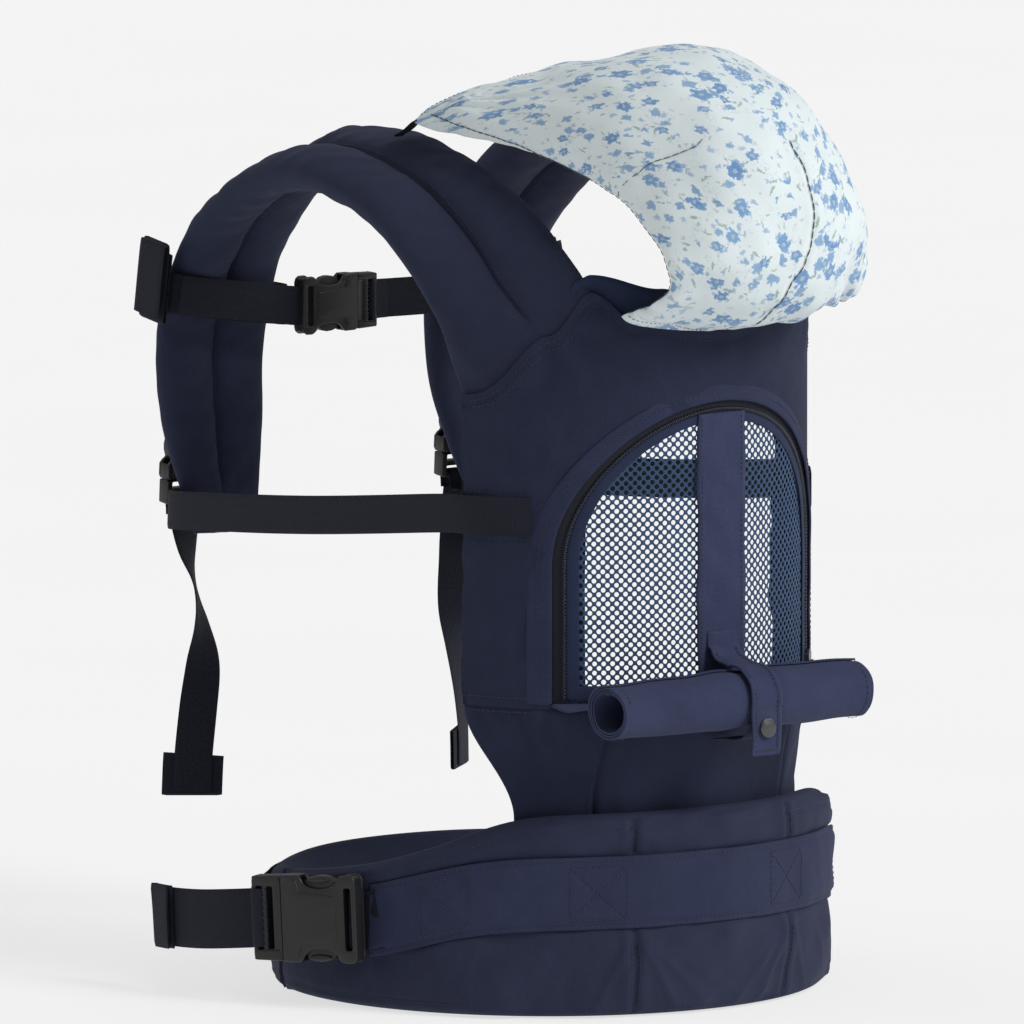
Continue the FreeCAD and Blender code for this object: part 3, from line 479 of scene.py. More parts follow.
def canvas(name, base, light, pitch=0.00085, bump=0.5, sheen=0.12, sheen_tint=(0.45, 0.50, 0.70), rough=0.86, wear=1.0):
    """Cotton twill: diagonal wales of yarns, uneven dye, painted shade in the weave's hollows, a soft bloom on the
    surface.
    """
    m = Mat(name)
    uv = m.uv()
    u, v, _ = m.sep(uv)
    ob = m.obj()
    wob = m.noise(ob, 140.0, 2.0)
    # diagonal wale
    d = m.math("ADD", u, v)
    d = m.math("ADD", d, m.math("MULTIPLY", wob, 0.00035))
    wale = m.math("SINE", m.math("MULTIPLY", d, 2 * pi / (pitch * 1.9)))
    wefts = m.math("SINE", m.math("MULTIPLY", v, 2 * pi / pitch))
    warps = m.math("SINE", m.math("MULTIPLY", u, 2 * pi / pitch))
    yarn = m.math("MULTIPLY", wefts, warps)
    hgt = m.math("ADD", m.math("MULTIPLY", wale, 0.55), m.math("MULTIPLY", yarn, 0.35))
    fuzz = m.noise(ob, 2600.0, 3.0, 0.7)
    hgt = m.math("ADD", hgt, m.math("MULTIPLY", fuzz, 0.8))
    big = m.noise(ob, 11.0, 3.0, 0.55)
    mid = m.noise(ob, 75.0, 4.0, 0.65)
    streak = m.noise(m.comb(m.math("MULTIPLY", u, 900.0), m.math("MULTIPLY", v, 60.0), 0.0), 1.0, 2.0)
    f = m.math("ADD", m.math("MULTIPLY", big, 0.55 * wear), m.math("MULTIPLY", mid, 0.35 * wear))
    f = m.math("ADD", f, m.math("MULTIPLY", streak, 0.22))
    # the weave's crowns are painted lighter and its hollows darker: painted shade in the weave
    f = m.math("ADD", f, m.math("MULTIPLY", hgt, 0.16))
    f = m.math("SUBTRACT", f, 0.28, clamp=True)
    col = m.mixc(f, base, light)
    m.link(col, m.bsdf.inputs["Base Color"])
    soft = m.noise(ob, 220.0, 2.0)
    n1 = m.bump(soft, 0.10, 0.0012)
    n2 = m.bump(hgt, bump, 0.00022, n1)
    m.link(n2, m.bsdf.inputs["Normal"])
    m.set(Roughness=rough, Sheen_Weight=sheen, Sheen_Roughness=0.45, Sheen_Tint=(*sheen_tint, 1), Specular_IOR_Level=0.25)
    return m.mat


def _comb(self, x, y, z):
    nd = self.n("CombineXYZ")
    for i, s in enumerate((x, y, z)):
        if isinstance(s, (int, float)):
            nd.inputs[i].default_value = s
        else:
            self.link(s, nd.inputs[i])
    return nd.outputs[0]


Mat.comb = _comb


def webbing_mat(name, base, light, rib=0.00155, bump=0.9):
    """Polyester webbing: cross ribs and lengthwise ends in a tight basket."""
    m = Mat(name)
    u, v, _ = m.sep(m.uv())
    ob = m.obj()
    cu = m.math("MULTIPLY", u, 2 * pi / rib)
    cv = m.math("MULTIPLY", v, 2 * pi / (rib * 1.25))
    su, sv = m.math("SINE", cu), m.math("SINE", cv)
    # rows shift by half a rib between ends
    alt = m.math("SINE", m.math("ADD", cu, m.math("MULTIPLY", m.math("SIGN", sv), pi / 2)))
    body = m.math("ADD", m.math("MULTIPLY", alt, 0.6), m.math("MULTIPLY", m.math("ABSOLUTE", sv), 0.8))
    fuzz = m.noise(ob, 3000.0, 2.0, 0.6)
    h = m.math("ADD", body, m.math("MULTIPLY", fuzz, 0.5))
    # rib crowns painted lighter and the hollows between ribs darker: painted shade in the weave
    f = m.math("MULTIPLY_ADD", body, 0.30, 0.22)
    f = m.math("ADD", f, m.math("MULTIPLY", m.noise(ob, 60.0, 3.0), 0.35))
    f = m.math("SUBTRACT", f, 0.1, clamp=True)
    m.link(m.mixc(f, base, light), m.bsdf.inputs["Base Color"])
    m.link(m.bump(h, bump, 0.00028), m.bsdf.inputs["Normal"])
    m.set(Roughness=0.72, Sheen_Weight=0.04, Sheen_Roughness=0.4, Sheen_Tint=(0.4, 0.45, 0.6, 1), Specular_IOR_Level=0.28)
    return m.mat


def plastic(name, base, light, rough=0.46):
    """Moulded acetal with a fine spark-eroded grain; convex edges get a lower roughness and a painted highlight in a
    lighter colour.
    """
    m = Mat(name)
    ob = m.obj()
    grain = m.noise(ob, 1900.0, 3.0, 0.65)
    cloud = m.noise(ob, 38.0, 3.0, 0.6)
    f = m.math("ADD", m.math("MULTIPLY", grain, 0.35), m.math("MULTIPLY", cloud, 0.5))
    geo = m.n("NewGeometry")
    edge = m.math("MULTIPLY", m.math("SUBTRACT", geo.outputs["Pointiness"], 0.52), 9.0, clamp=True)
    col = m.mixc(f, base, light)
    # convex edges mixed towards a lighter colour: painted highlight on the edges
    col = m.mixc(m.math("MULTIPLY", edge, 0.45), col, tuple(min(1, c * 2.2) for c in light))
    m.link(col, m.bsdf.inputs["Base Color"])
    r = m.math("ADD", m.math("MULTIPLY", cloud, 0.12), rough - 0.06)
    r = m.math("SUBTRACT", r, m.math("MULTIPLY", edge, 0.12))
    m.link(r, m.bsdf.inputs["Roughness"])
    m.link(m.bump(grain, 0.16, 0.00012), m.bsdf.inputs["Normal"])
    m.set(Specular_IOR_Level=0.42)
    return m.mat


def metal(name, base, rough=0.34, metallic=0.9):
    m = Mat(name)
    ob = m.obj()
    g = m.noise(ob, 900.0, 3.0)
    c = m.noise(ob, 90.0, 2.0)
    m.link(m.mixc(c, base, tuple(x * 1.5 for x in base)), m.bsdf.inputs["Base Color"])
    m.link(m.math("MULTIPLY_ADD", c, 0.16, rough - 0.06), m.bsdf.inputs["Roughness"])
    m.link(m.bump(g, 0.06, 0.0001), m.bsdf.inputs["Normal"])
    m.set(Metallic=metallic)
    return m.mat


def thread(name, col):
    m = Mat(name)
    ob = m.obj()
    t = m.noise(ob, 2500.0, 2.0)
    m.link(m.mixc(t, tuple(c * 0.7 for c in col), tuple(min(1, c * 1.3) for c in col)), m.bsdf.inputs["Base Color"])
    m.link(m.bump(t, 0.4, 0.0002), m.bsdf.inputs["Normal"])
    m.set(Roughness=0.7, Sheen_Weight=0.2, Specular_IOR_Level=0.3)
    return m.mat


def floral(name):
    """White cotton with a scattered print of small blue blossoms, buds and leaves."""
    m = Mat(name)
    uv = m.uv()
    ob = m.obj()
    warp = m.n("TexNoise", noise_dimensions="2D")
    warp.inputs["Scale"].default_value = 160.0
    warp.inputs["Detail"].default_value = 2.0
    m.link(uv, warp.inputs["Vector"])
    off = m.n("VectorMath", operation="MULTIPLY_ADD")
    m.link(warp.outputs["Color"], off.inputs[0])
    off.inputs[1].default_value = (0.0024, 0.0024, 0)
    m.link(uv, off.inputs[2])
    fine = m.n("TexNoise", noise_dimensions="2D")
    fine.inputs["Scale"].default_value = 620.0
    fine.inputs["Detail"].default_value = 1.0
    m.link(uv, fine.inputs["Vector"])
    off2 = m.n("VectorMath", operation="MULTIPLY_ADD")
    m.link(fine.outputs["Color"], off2.inputs[0])
    off2.inputs[1].default_value = (0.0020, 0.0020, 0)
    m.link(off.outputs[0], off2.inputs[2])
    uvw = off2.outputs[0]
    clump = m.noise(uv, 34.0, 1.0)
    mid = m.noise(ob, 30.0, 3.0)
    col = m.mixc(mid, (0.67, 0.755, 0.775), (0.77, 0.84, 0.85))

    def layer(col, cell, rad, petals, keep, tint_a, tint_b, seed, soft=0.10, depth=0.32, centre=None, squash=1.0, strength=0.92, ring=0.0):
        """One family of motifs, one per Voronoi cell, kept where the cell's random value allows."""
        mp = m.n("Mapping")
        mp.inputs["Location"].default_value = (seed * 0.137, seed * 0.071, 0)
        mp.inputs["Rotation"].default_value = (0, 0, seed * 0.7)
        m.link(uvw, mp.inputs["Vector"])
        vo = m.n("TexVoronoi", voronoi_dimensions="2D", feature="F1")
        vo.inputs["Scale"].default_value = 1.0 / cell
        vo.inputs["Randomness"].default_value = 0.9
        m.link(mp.outputs[0], vo.inputs["Vector"])
        df = m.n("VectorMath", operation="SUBTRACT")
        m.link(mp.outputs[0], df.inputs[0])
        m.link(vo.outputs["Position"], df.inputs[1])
        # Position is in unscaled space
        sp = m.n("SeparateColor")
        m.link(vo.outputs["Color"], sp.inputs[0])
        rnd, rnd2, rnd3 = sp.outputs[0], sp.outputs[1], sp.outputs[2]
        rot = m.n("VectorRotate", rotation_type="Z_AXIS")
        m.link(df.outputs[0], rot.inputs["Vector"])
        m.link(m.math("MULTIPLY", rnd2, 2 * pi), rot.inputs["Angle"])
        x, y, _ = m.sep(rot.outputs[0])
        y = m.math("MULTIPLY", y, squash)
        r = m.math("SQRT", m.math("ADD", m.math("MULTIPLY", x, x), m.math("MULTIPLY", y, y)))
        ang = m.math("ARCTAN2", y, x)
        lobes = m.math("COSINE", m.math("MULTIPLY", ang, float(petals)))
        size = m.math("MULTIPLY_ADD", rnd3, rad * 0.55, rad * 0.65)
        edge = m.math("MULTIPLY", size, m.math("MULTIPLY_ADD", lobes, depth * 0.5, 1 - depth * 0.5))
        edge = m.math("MULTIPLY", edge, m.math("MULTIPLY_ADD", m.noise(uvw, 420.0, 2.0), 1.9, 0.08))
        q = m.math("SUBTRACT", edge, r)
        if ring:
            q = m.math("SUBTRACT", ring, m.math("ABSOLUTE", q))
        q = m.math("DIVIDE", q, rad * soft)
        mask = m.math("MULTIPLY", q, 1.0, clamp=True)
        on = m.math("LESS_THAN", rnd, m.math("MULTIPLY_ADD", clump, 1.5, keep - 0.75))
        mask = m.math("MULTIPLY", m.math("MULTIPLY", mask, on), strength)
        blotch = m.noise(uvw, 900.0, 2.0)
        tint = m.mixc(m.math("MULTIPLY_ADD", rnd2, 0.6, m.math("MULTIPLY", blotch, 0.5)), tint_a, tint_b)
        # petals are darker towards the throat
        inner = m.math("SUBTRACT", 1.0, m.math("DIVIDE", r, size), clamp=True)
        tint = m.mixc(m.math("MULTIPLY", inner, 0.45), tint, tuple(c * 0.55 for c in tint_b))
        col = m.mixc(mask, col, tint)
        if centre:
            cm = m.math("MULTIPLY", m.math("LESS_THAN", r, rad * 0.24), on)
            col = m.mixc(m.math("MULTIPLY", cm, 0.8), col, centre)
        return col

    col = layer(col, 0.0078, 0.0020, 2, 0.36, (0.42, 0.47, 0.52), (0.55, 0.60, 0.66), 11, squash=1.7, depth=0.1, strength=0.55, soft=0.4)
    col = layer(col, 0.0092, 0.0027, 5, 0.44, (0.30, 0.37, 0.47), (0.42, 0.49, 0.60), 7, depth=0.5, strength=0.62, soft=0.16, ring=0.00034)
    col = layer(col, 0.0104, 0.0036, 2, 0.34, (0.16, 0.29, 0.18), (0.34, 0.46, 0.36), 5, squash=3.6, depth=0.1, strength=0.70, soft=0.3)
    col = layer(col, 0.0090, 0.0027, 3, 0.42, (0.24, 0.40, 0.63), (0.42, 0.57, 0.76), 9, squash=1.5, depth=0.24, strength=0.75, soft=0.3)
    col = layer(col, 0.0130, 0.0045, 4, 0.46, (0.13, 0.29, 0.55), (0.28, 0.47, 0.70), 2, depth=0.26, strength=0.85, soft=0.22)
    col = layer(col, 0.0186, 0.0061, 5, 0.58, (0.10, 0.24, 0.52), (0.22, 0.41, 0.68), 3, depth=0.28, soft=0.2, centre=(0.42, 0.54, 0.62))
    m.link(col, m.bsdf.inputs["Base Color"])
    u, v, _ = m.sep(uv)
    weave = m.math("ADD", m.math("SINE", m.math("MULTIPLY", u, 2 * pi / 0.0006)),
                   m.math("SINE", m.math("MULTIPLY", v, 2 * pi / 0.0006)))
    fuzz = m.noise(ob, 2400.0, 2.0)
    h = m.math("ADD", m.math("MULTIPLY", weave, 0.3), fuzz)
    crinkle = m.noise(ob, 130.0, 3.0, 0.6)
    n1 = m.bump(crinkle, 0.16, 0.0016)
    m.link(m.bump(h, 0.22, 0.00015, n1), m.bsdf.inputs["Normal"])
    m.set(Roughness=0.85, Sheen_Weight=0.15, Specular_IOR_Level=0.2, Subsurface_Weight=0.0)
    return m.mat


NAVY = (0.0138, 0.0175, 0.044)
NAVY_L = (0.036, 0.045, 0.102)
M_CANVAS = canvas("canvas_navy", NAVY, NAVY_L, sheen=0.06)
# the navy canvas made darker for the body panel and seat: a shaded copy of one cloth, painted shade for the side turned
# from the key light
M_CANVAS_SHADED = canvas("canvas_navy_painted_shade", (0.0098, 0.0128, 0.032), (0.027, 0.034, 0.076), sheen=0.04)
# the navy canvas made lighter for the window cover's roll, band, snap strap and sill: a lit copy of one cloth, painted
# light for the parts that catch the key light
M_CANVAS_LIT = canvas("canvas_navy_painted_light", (0.0205, 0.0260, 0.063), (0.052, 0.064, 0.138), sheen=0.08)
M_CANVAS2 = canvas("canvas_navy_pads", (0.0125, 0.0155, 0.036), (0.031, 0.038, 0.082), pitch=0.00075, bump=0.42, sheen=0.05)
M_LINING = canvas("lining_navy", (0.012, 0.018, 0.046), (0.026, 0.038, 0.088), pitch=0.0006, bump=0.2, sheen=0.1)
M_WEB = webbing_mat("webbing_navy", (0.0032, 0.0044, 0.011), (0.0095, 0.0125, 0.027))
M_THREAD = thread("thread_navy", (0.014, 0.017, 0.036))
M_THREAD_DK = thread("thread_dark", (0.010, 0.012, 0.028))
M_BUCKLE = plastic("acetal_charcoal", (0.0080, 0.0080, 0.0086), (0.0165, 0.0165, 0.0172))
M_COIL = plastic("nylon_coil", (0.006, 0.007, 0.013), (0.035, 0.038, 0.055), 0.38)
M_TAPE = webbing_mat("zip_tape", (0.006, 0.007, 0.013), (0.016, 0.018, 0.030), rib=0.0009, bump=0.4)
M_SNAP = metal("gunmetal", (0.085, 0.085, 0.09))
M_NET = canvas("net_navy", (0.018, 0.045, 0.105), (0.050, 0.095, 0.180), pitch=0.0008, bump=0.3, sheen=0.3, rough=0.7)
M_HOOD = floral("cotton_floral")
M_HOODTHREAD = thread("thread_slate", (0.060, 0.075, 0.085))


# =====================================================================
# shapes the CAD shares with this file
# =====================================================================
A0, B0, C0, BASE_R, R = 133.0, 116.0, -60.0, 158.6, 179.0
A80 = RAD(80.0)


def panel(s, z, off=0.0):
    """Point on the panel. s runs -1..1 from the wearer's right edge to the left."""
    s, z, off = np.broadcast_arrays(np.asarray(s, float), np.asarray(z, float), np.asarray(off, float))
    a = s * A80
    n1 = unit(np.stack([np.sin(a) / A0, -np.cos(a) / B0, 0 * a], -1))
    b = s * RAD(46.0)
    n0 = np.stack([np.sin(b), -np.cos(b), 0 * b], -1)
    k = lerp([(126, 0.0), (200, 1.0)], z)[..., None]
    nn = unit(n0 * (1 - k) + n1 * k)
    p1 = np.stack([A0 * np.sin(a), C0 - B0 * np.cos(a), z], -1)
    p0 = np.stack([BASE_R * np.sin(b), -BASE_R * np.cos(b), z], -1)
    p = p0 * (1 - k) + p1 * k + nn * off[..., None]
    p[..., 2] = z
    return p


def panel_n(s, z):
    return panel(s, z, 1.0) - panel(s, z, 0.0)


_a = np.linspace(-A80, A80, 801)
_len = np.r_[0, np.cumsum(np.hypot(np.diff(A0 * np.sin(_a)), np.diff(B0 * np.cos(_a))))]
_len -= _len[400]
HALF_U = _len[-1]


def s_of_u(u):
    return np.interp(u, _len, _a / A80)


def u_of_s(s):
    return np.interp(s, _a / A80, _len)


def s_of_x(x):
    return np.arcsin(np.clip(np.asarray(x, float) / A0, -0.9848, 0.9848)) / A80


TOPT = [(0, 437.0), (60, 446.0), (84, 464.0), (104, 436.0), (131, 396.0)]


def panel_top(x):
    return lerp(TOPT, np.abs(x))


def arch_line(half, sill=199.0, step=2.0, spring=289.0):
    """Window outline as (x, z), from the lower right-hand corner over to the left."""
    leg = max(2, int((spring - sill) / step))
    arc = max(8, int(pi * half / step))
    zs = np.linspace(sill, spring, leg + 1)[:-1]
    th = np.linspace(pi, 0, arc + 1)
    return np.vstack([np.stack([np.full(leg, -half), zs], -1),
                      np.stack([half * np.cos(th), spring + half * np.sin(th)], -1),
                      np.stack([np.full(leg, half), zs[::-1]], -1)])


def cubic(table):
    q = catmull([(a, b, 0) for a, b in table], 16)
    return lambda y: np.interp(y, q[:, 0], q[:, 1])


top_of = cubic([(-179, 130), (-129, 126), (-76, 105), (-15, 89), (110, 73), (179, 73)])
mid_of = cubic([(-179, 81.0), (-115, 77.0), (-34, 56.5), (60, 49.5), (179, 48.0)])


# =====================================================================
# body panel: canvas, lining, seat
# =====================================================================
def panel_outline(z_low, inset=0.0, window=103.0, sill=None):
    """Outline in (arc length, z) of the upside-down U round the window."""
    xs = np.linspace(-130.98, 130.98, 181)
    top = np.stack([u_of_s(s_of_x(xs)), panel_top(xs) - inset], -1)
    hu = HALF_U
    win = arch_line(window, z_low, 3.0)
    win = np.stack([u_of_s(s_of_x(win[:, 0])), win[:, 1]], -1)
    return np.vstack([[(-hu, z_low)], top, [(hu, z_low)], win[::-1]])


W_PANEL = Wob(3, 95.0)
W_FINE = Wob(8, 26.0)


def panel_relief(u, z):
    """Soft hand of the canvas: dents by the seams and creases from the strap roots."""
    s = s_of_u(u)
    x = A0 * np.sin(s * A80)
    p = np.stack([u, 0 * u, z], -1)
    d = 0.75 * W_PANEL(p) + 0.22 * W_FINE(p)
    dt = panel_top(x) - z
    d += -0.9 * np.exp(-((dt - 7.5) / 1.8) ** 2) + 0.5 * np.exp(-((dt - 1.5) / 2.5) ** 2)
    d += 0.30 * np.sin(u / 4.6 + 1.3 * np.sin(u / 17.0)) * np.exp(-((dt - 8) / 5.0) ** 2)
    for sg in (-1, 1):
        # creases that fan out of each strap root
        u0, z0 = sg * u_of_s(s_of_x(104.0)), 446.0
        dx, dz = (u - u0) * sg, z - z0
        r = np.hypot(dx, dz)
        an = np.arctan2(-dz, -dx)
        d += 1.3 * np.sin(an * 6.5 + 0.8) * np.exp(-((r - 34) / 22.0) ** 2) * (an > -0.4) * (an < 2.4)
        # long soft fold from the arm opening down to the side channel
        d += 1.1 * np.exp(-(((sg * u - 118) + (z - 330) * 0.10) / 6.5) ** 2) * np.exp(-((z - 372) / 42.0) ** 2)
        # channel that holds the side webbing
        ch = (np.abs(z - 320) < 13) & (sg * u > HALF_U - 48)
        d += 0.9 * ch * smooth01((13 - np.abs(z - 320)) / 3.0)
        for zz in (305.5, 334.5):
            d += -0.6 * np.exp(-((z - zz) / 1.5) ** 2) * smooth01((sg * u - (HALF_U - 52)) / 8.0)
        d += -0.5 * np.exp(-((HALF_U - sg * u - 5.5) / 1.6) ** 2)
        # drag lines below the channel
        d += 0.8 * np.sin((z + 0.6 * sg * u) / 5.2) * np.exp(-((z - 284) / 15.0) ** 2) * smooth01((sg * u - 112) / 30.0)
    # the cloth stands up a little where it is turned back round the window
    w = np.abs(window_dist(x, z))
    d += 0.7 * np.exp(-(w / 4.0) ** 2) - 0.55 * np.exp(-((w - 12.5) / 2.0) ** 2)
    return d


def window_dist(x, z, half=103.0, spring=289.0):
    """Signed distance outward from the window's outline."""
    up = np.hypot(x, z - spring) - half
    return np.where(z > spring, up, np.abs(x) - half)


def build_canvas():
    vv, ff = region(panel_outline(197.2), [], 2.9)
    u, z = vv[:, 0], vv[:, 1]
    s = s_of_u(u)
    p = panel(s, z, 0.40 + np.maximum(panel_relief(u, z), -0.6) * smooth01((z - 198) / 6.0))
    b = Bag().add(p, ff, np.stack([u, z], -1) / 1000.0)
    ob = b.object("body_panel_canvas", M_CANVAS_SHADED)
    solidify(ob, 1.35, 1.0)
    bake_mods(ob)
    ob.data.set_sharp_from_angle(angle=RAD(60))
    put(ob, nodes=["body_panel_outer"])
    cloth(ob, "stretched", "seat_panel_canvas")
    return ob


def build_lining():
    vv, ff = region(panel_outline(199.0, inset=3.0), [], 4.5)
    u, z = vv[:, 0], vv[:, 1]
    s = s_of_u(u)
    w = 0.5 * W_PANEL(np.stack([u, 0 * u + 30, z], -1))
    b = Bag().add(panel(s, z, -0.75 - np.abs(w)), ff, np.stack([u, z], -1) / 1000.0)
    # inner facings: straight edges hang behind each side of the window
    for sg in (-1, 1):
        rows, cols = 56, 14
        zz = np.linspace(200.0, 399.0, rows)
        kk = np.linspace(0, 1, cols)
        Z, K = np.meshgrid(zz, kk, indexing="ij")
        x_out, y_out = 112.0, C0 - B0 * math.sqrt(1 - (112.0 / A0) ** 2) + 3.0
        x_in, y_in = 76.0, -134.0
        bow = 2.6 * np.sin(K * pi) + 0.9 * W_FINE(np.stack([K * 40, Z, 0 * Z + sg * 50], -1))
        X = x_out + (x_in - x_out) * K + 0.5 * bow
        Y = y_out + (y_in - y_out) * K - bow
        # a narrowing of the facing towards the arch near its top is worked out but not applied
        lim = np.sqrt(np.maximum(1.0, 108.0 ** 2 - np.maximum(0, Z - 289.0) ** 2))
        shrink = np.clip(lim / 108.0, 0.72, 1)
        P = np.stack([sg * X, Y, Z], -1).reshape(-1, 3)
        b.add(P, grid_faces(rows, cols, flip=sg < 0), np.stack([sg * X, Z], -1).reshape(-1, 2) / 1000.0)
    ob = b.object("body_panel_lining_cloth", M_LINING)
    solidify(ob, 0.8, 0.0)
    bake_mods(ob)
    put(ob, nodes=["body_panel_lining"])
    cloth(ob, "hung", "body_panel_canvas")
    return ob


def build_neck_rise():
    """The lining stands a little higher than the canvas along the neck."""
    n, rows = 120, 8
    xs = np.linspace(-97.0, 97.0, n)
    top = lerp([(0, 452.0), (43, 465.0), (84, 475.0), (92, 471.0), (97, 452.0)], np.abs(xs))
    low = panel_top(xs) - 9.0
    low = np.minimum(low, top - 1.0)
    k = np.linspace(0, 1, rows)
    G = np.stack([panel(s_of_x(xs), low + (top - low) * q, -2.6 + 1.4 * q + 0.4 * np.sin(xs / 13.0) * q) for q in k])
    UV = np.stack([np.broadcast_to(xs, (rows, n)), G[..., 2]], -1) / 1000.0
    b = Bag().add(G.reshape(-1, 3), grid_faces(rows, n, flip=True), UV.reshape(-1, 2))
    ob = b.object("neck_rise", M_LINING)
    solidify(ob, 1.1, 0.0)
    bake_mods(ob)
    put(ob)
    cloth(ob, "stretched", "body_panel_canvas", laid_out=False)


def build_seat():
    nu, nz = 170, 48
    uu = np.linspace(-1, 1, nu)
    zz = np.linspace(112.5, 205.0, nz)
    Z, S_ = np.meshgrid(zz, uu, indexing="ij")
    X = panel(S_, Z, 0)[..., 0]
    p = np.stack([S_ * 174, 0 * S_, Z], -1)
    d = 0.9 * Wob(21, 60.0, stretch=(1, 1, 0.5))(p)
    # gathers run down from the seat seam and fade out
    g = np.sin(S_ * 34 + 2.2 * np.sin(S_ * 9)) + 0.6 * np.sin(S_ * 71 + 1.0)
    d += 0.75 * g * smooth01((Z - 150) / 45.0) * (0.45 + 0.55 * np.abs(S_))
    d += 0.6 * np.sin((Z * 0.9 + np.abs(S_) * 190) / 9.0) * smooth01((np.abs(S_) - 0.45) / 0.3)
    for sg in (-1, 1):
        xs = 72.5 + (198 - Z) * 0.02
        d += -2.6 * np.exp(-(((sg * X) - xs) / 1.3) ** 2) + 1.1 * np.exp(-(((sg * X) - xs + 4.5) / 3.2) ** 2)
    d *= smooth01((198.5 - Z) / 4.0) * 0.9 + 0.1
    d -= 1.6 * smooth01((Z - 196.5) / 2.0) - 0.0 * Z
    bulge = 3.4 * np.sin(np.clip((Z - 118) / 80.0, 0, 1) * pi) * (1 - S_ ** 4)
    P = panel(S_, Z, d + bulge * 0.6)
    b = Bag().add(P.reshape(-1, 3), grid_faces(nz, nu), np.stack([S_ * 174, Z], -1).reshape(-1, 2) / 1000.0)
    ob = b.object("seat_panel_canvas", M_CANVAS_SHADED)
    solidify(ob, 1.5, 0.0)
    bake_mods(ob)
    put(ob, nodes=["seat_panel"])
    cloth(ob, "gathered", "waist_belt_padded", laid_out=False)
    return ob


def on_panel(xz, off):
    xz = np.asarray(xz, float)
    s = s_of_x(xz[:, 0])
    return panel(s, xz[:, 1], off), unit(panel_n(s, xz[:, 1]))


def uz_path(uz, off):
    uz = np.asarray(uz, float)
    s = s_of_u(uz[:, 0])
    return panel(s, uz[:, 1], off), unit(panel_n(s, uz[:, 1]))


def build_panel_stitches():
    b = Bag()
    xs = np.linspace(-84, 84, 90)
    rel = lambda uz: 1.75 + np.maximum(panel_relief(uz[:, 0], uz[:, 1]), -0.6)

    def row(uz):
        uz = resample(np.asarray(uz, float), step=3.0)[0]
        p, n = uz_path(uz, rel(uz))
        stitches(b, p, n)

    row(np.stack([u_of_s(s_of_x(xs)), panel_top(xs) - 7.5], -1))
    for sg in (-1, 1):
        xd = np.linspace(85, 130.5, 40)
        for k in (4.0, 8.5):
            row(np.stack([sg * (u_of_s(s_of_x(xd)) - k * 0.62), panel_top(xd) - k * 0.9], -1))
        row([(sg * (HALF_U - 5.5), 202), (sg * (HALF_U - 5.5), 388)])
        for zz in (305.5, 334.5):
            row([(sg * (HALF_U - 1), zz), (sg * (HALF_U - 52), zz)])
        a, c = HALF_U - 14, HALF_U - 44
        box = [(sg * a, 309.5), (sg * c, 309.5), (sg * c, 330.5), (sg * a, 330.5), (sg * a, 309.5)]
        row(box)
        row([(sg * a, 309.5), (sg * c, 330.5)])
        row([(sg * a, 330.5), (sg * c, 309.5)])
        row([(sg * HALF_U * 0.995, 203.5), (sg * u_of_s(s_of_x(105.0)), 203.5)])
    # seams of the seat panel, on its own surface
    for sg in (-1, 1):
        ss = np.linspace(0.02, 0.985, 60) * sg
        for zz in (194.5,):
            stitches(b, panel(ss, zz, 1.6), unit(panel_n(ss, np.full(60, zz))))
        zz = np.linspace(118, 194, 24)
        xs_ = 72.5 + (198 - zz) * 0.02 + 3.0
        k = lerp([(126, 0.0), (200, 1.0)], zz)
        # s for that x
        lo = np.zeros(24)
        hi = np.ones(24)
        for _ in range(30):
            mid = (lo + hi) / 2
            big = panel(mid, zz, 0)[:, 0] > xs_
            hi = np.where(big, mid, hi)
            lo = np.where(big, lo, mid)
        stitches(b, panel(sg * lo, zz, 2.4), unit(panel_n(sg * lo, zz)))
    ob = b.object("panel_stitching", M_THREAD)
    put(ob)
    return ob


# =====================================================================
# window: net, zip, centre band, folded edge
# =====================================================================
def build_net():
    """Warp-knit net: round-cornered holes on a lattice turned by 45 degrees."""
    du, dz, r = 2.9, 2.95, 1.62
    b = Bag()
    hu = u_of_s(s_of_x(97.0))
    ni, nj = int(hu / du) + 1, int(190 / dz) + 2
    cells = []
    for i in range(-ni, ni + 1):
        for j in range(0, nj):
            if (i + j) % 2:
                continue
            u, z = i * du, 203.0 + j * dz
            x = A0 * math.sin(s_of_u(u) * A80)
            if window_dist(x, z) < -8.6:
                cells.append((u, z))
    c = np.array(cells)
    n = 8
    ang = np.arange(n) * 2 * pi / n
    # the hole: a rounded shape a little taller than wide
    hole = np.stack([np.cos(ang) * r, np.sin(ang) * r * 1.04], -1)
    dia = np.array([(du, 0), (du / 2, dz / 2), (0, dz), (-du / 2, dz / 2), (-du, 0), (-du / 2, -dz / 2), (0, -dz), (du / 2, -dz / 2)])
    rs = np.random.RandomState(5)
    jit = rs.normal(0, 0.07, (len(c), 1, 2))
    H = c[:, None, :] + hole[None] * (1 + rs.normal(0, 0.025, (len(c), 1, 1))) + jit
    D = c[:, None, :] + dia[None]
    pts = np.concatenate([H, D], 1).reshape(-1, 2)
    # shared corners move together: a slow drift of the whole cloth
    pts = pts + 0.25 * np.stack([np.sin(pts[:, 1] / 23.0 + pts[:, 0] / 40.0), np.cos(pts[:, 0] / 29.0)], -1)
    s = s_of_u(pts[:, 0])
    w = 0.9 * Wob(31, 70.0)(np.stack([pts[:, 0], 0 * pts[:, 0], pts[:, 1]], -1))
    P = panel(s, pts[:, 1], 0.0 + w * 0.4)
    faces = []
    for k in range(len(c)):
        o = k * 16
        for q in range(n):
            faces.append((o + q, o + 8 + q, o + 8 + (q + 1) % n, o + (q + 1) % n))
    b.add(P, faces, pts / 1000.0)
    ob = b.object("window_net", M_NET, merge=0.05)
    solidify(ob, 0.7, 0.0)
    subsurf(ob, 1)
    bake_mods(ob)
    put(ob, nodes=["mesh_window"])
    return ob


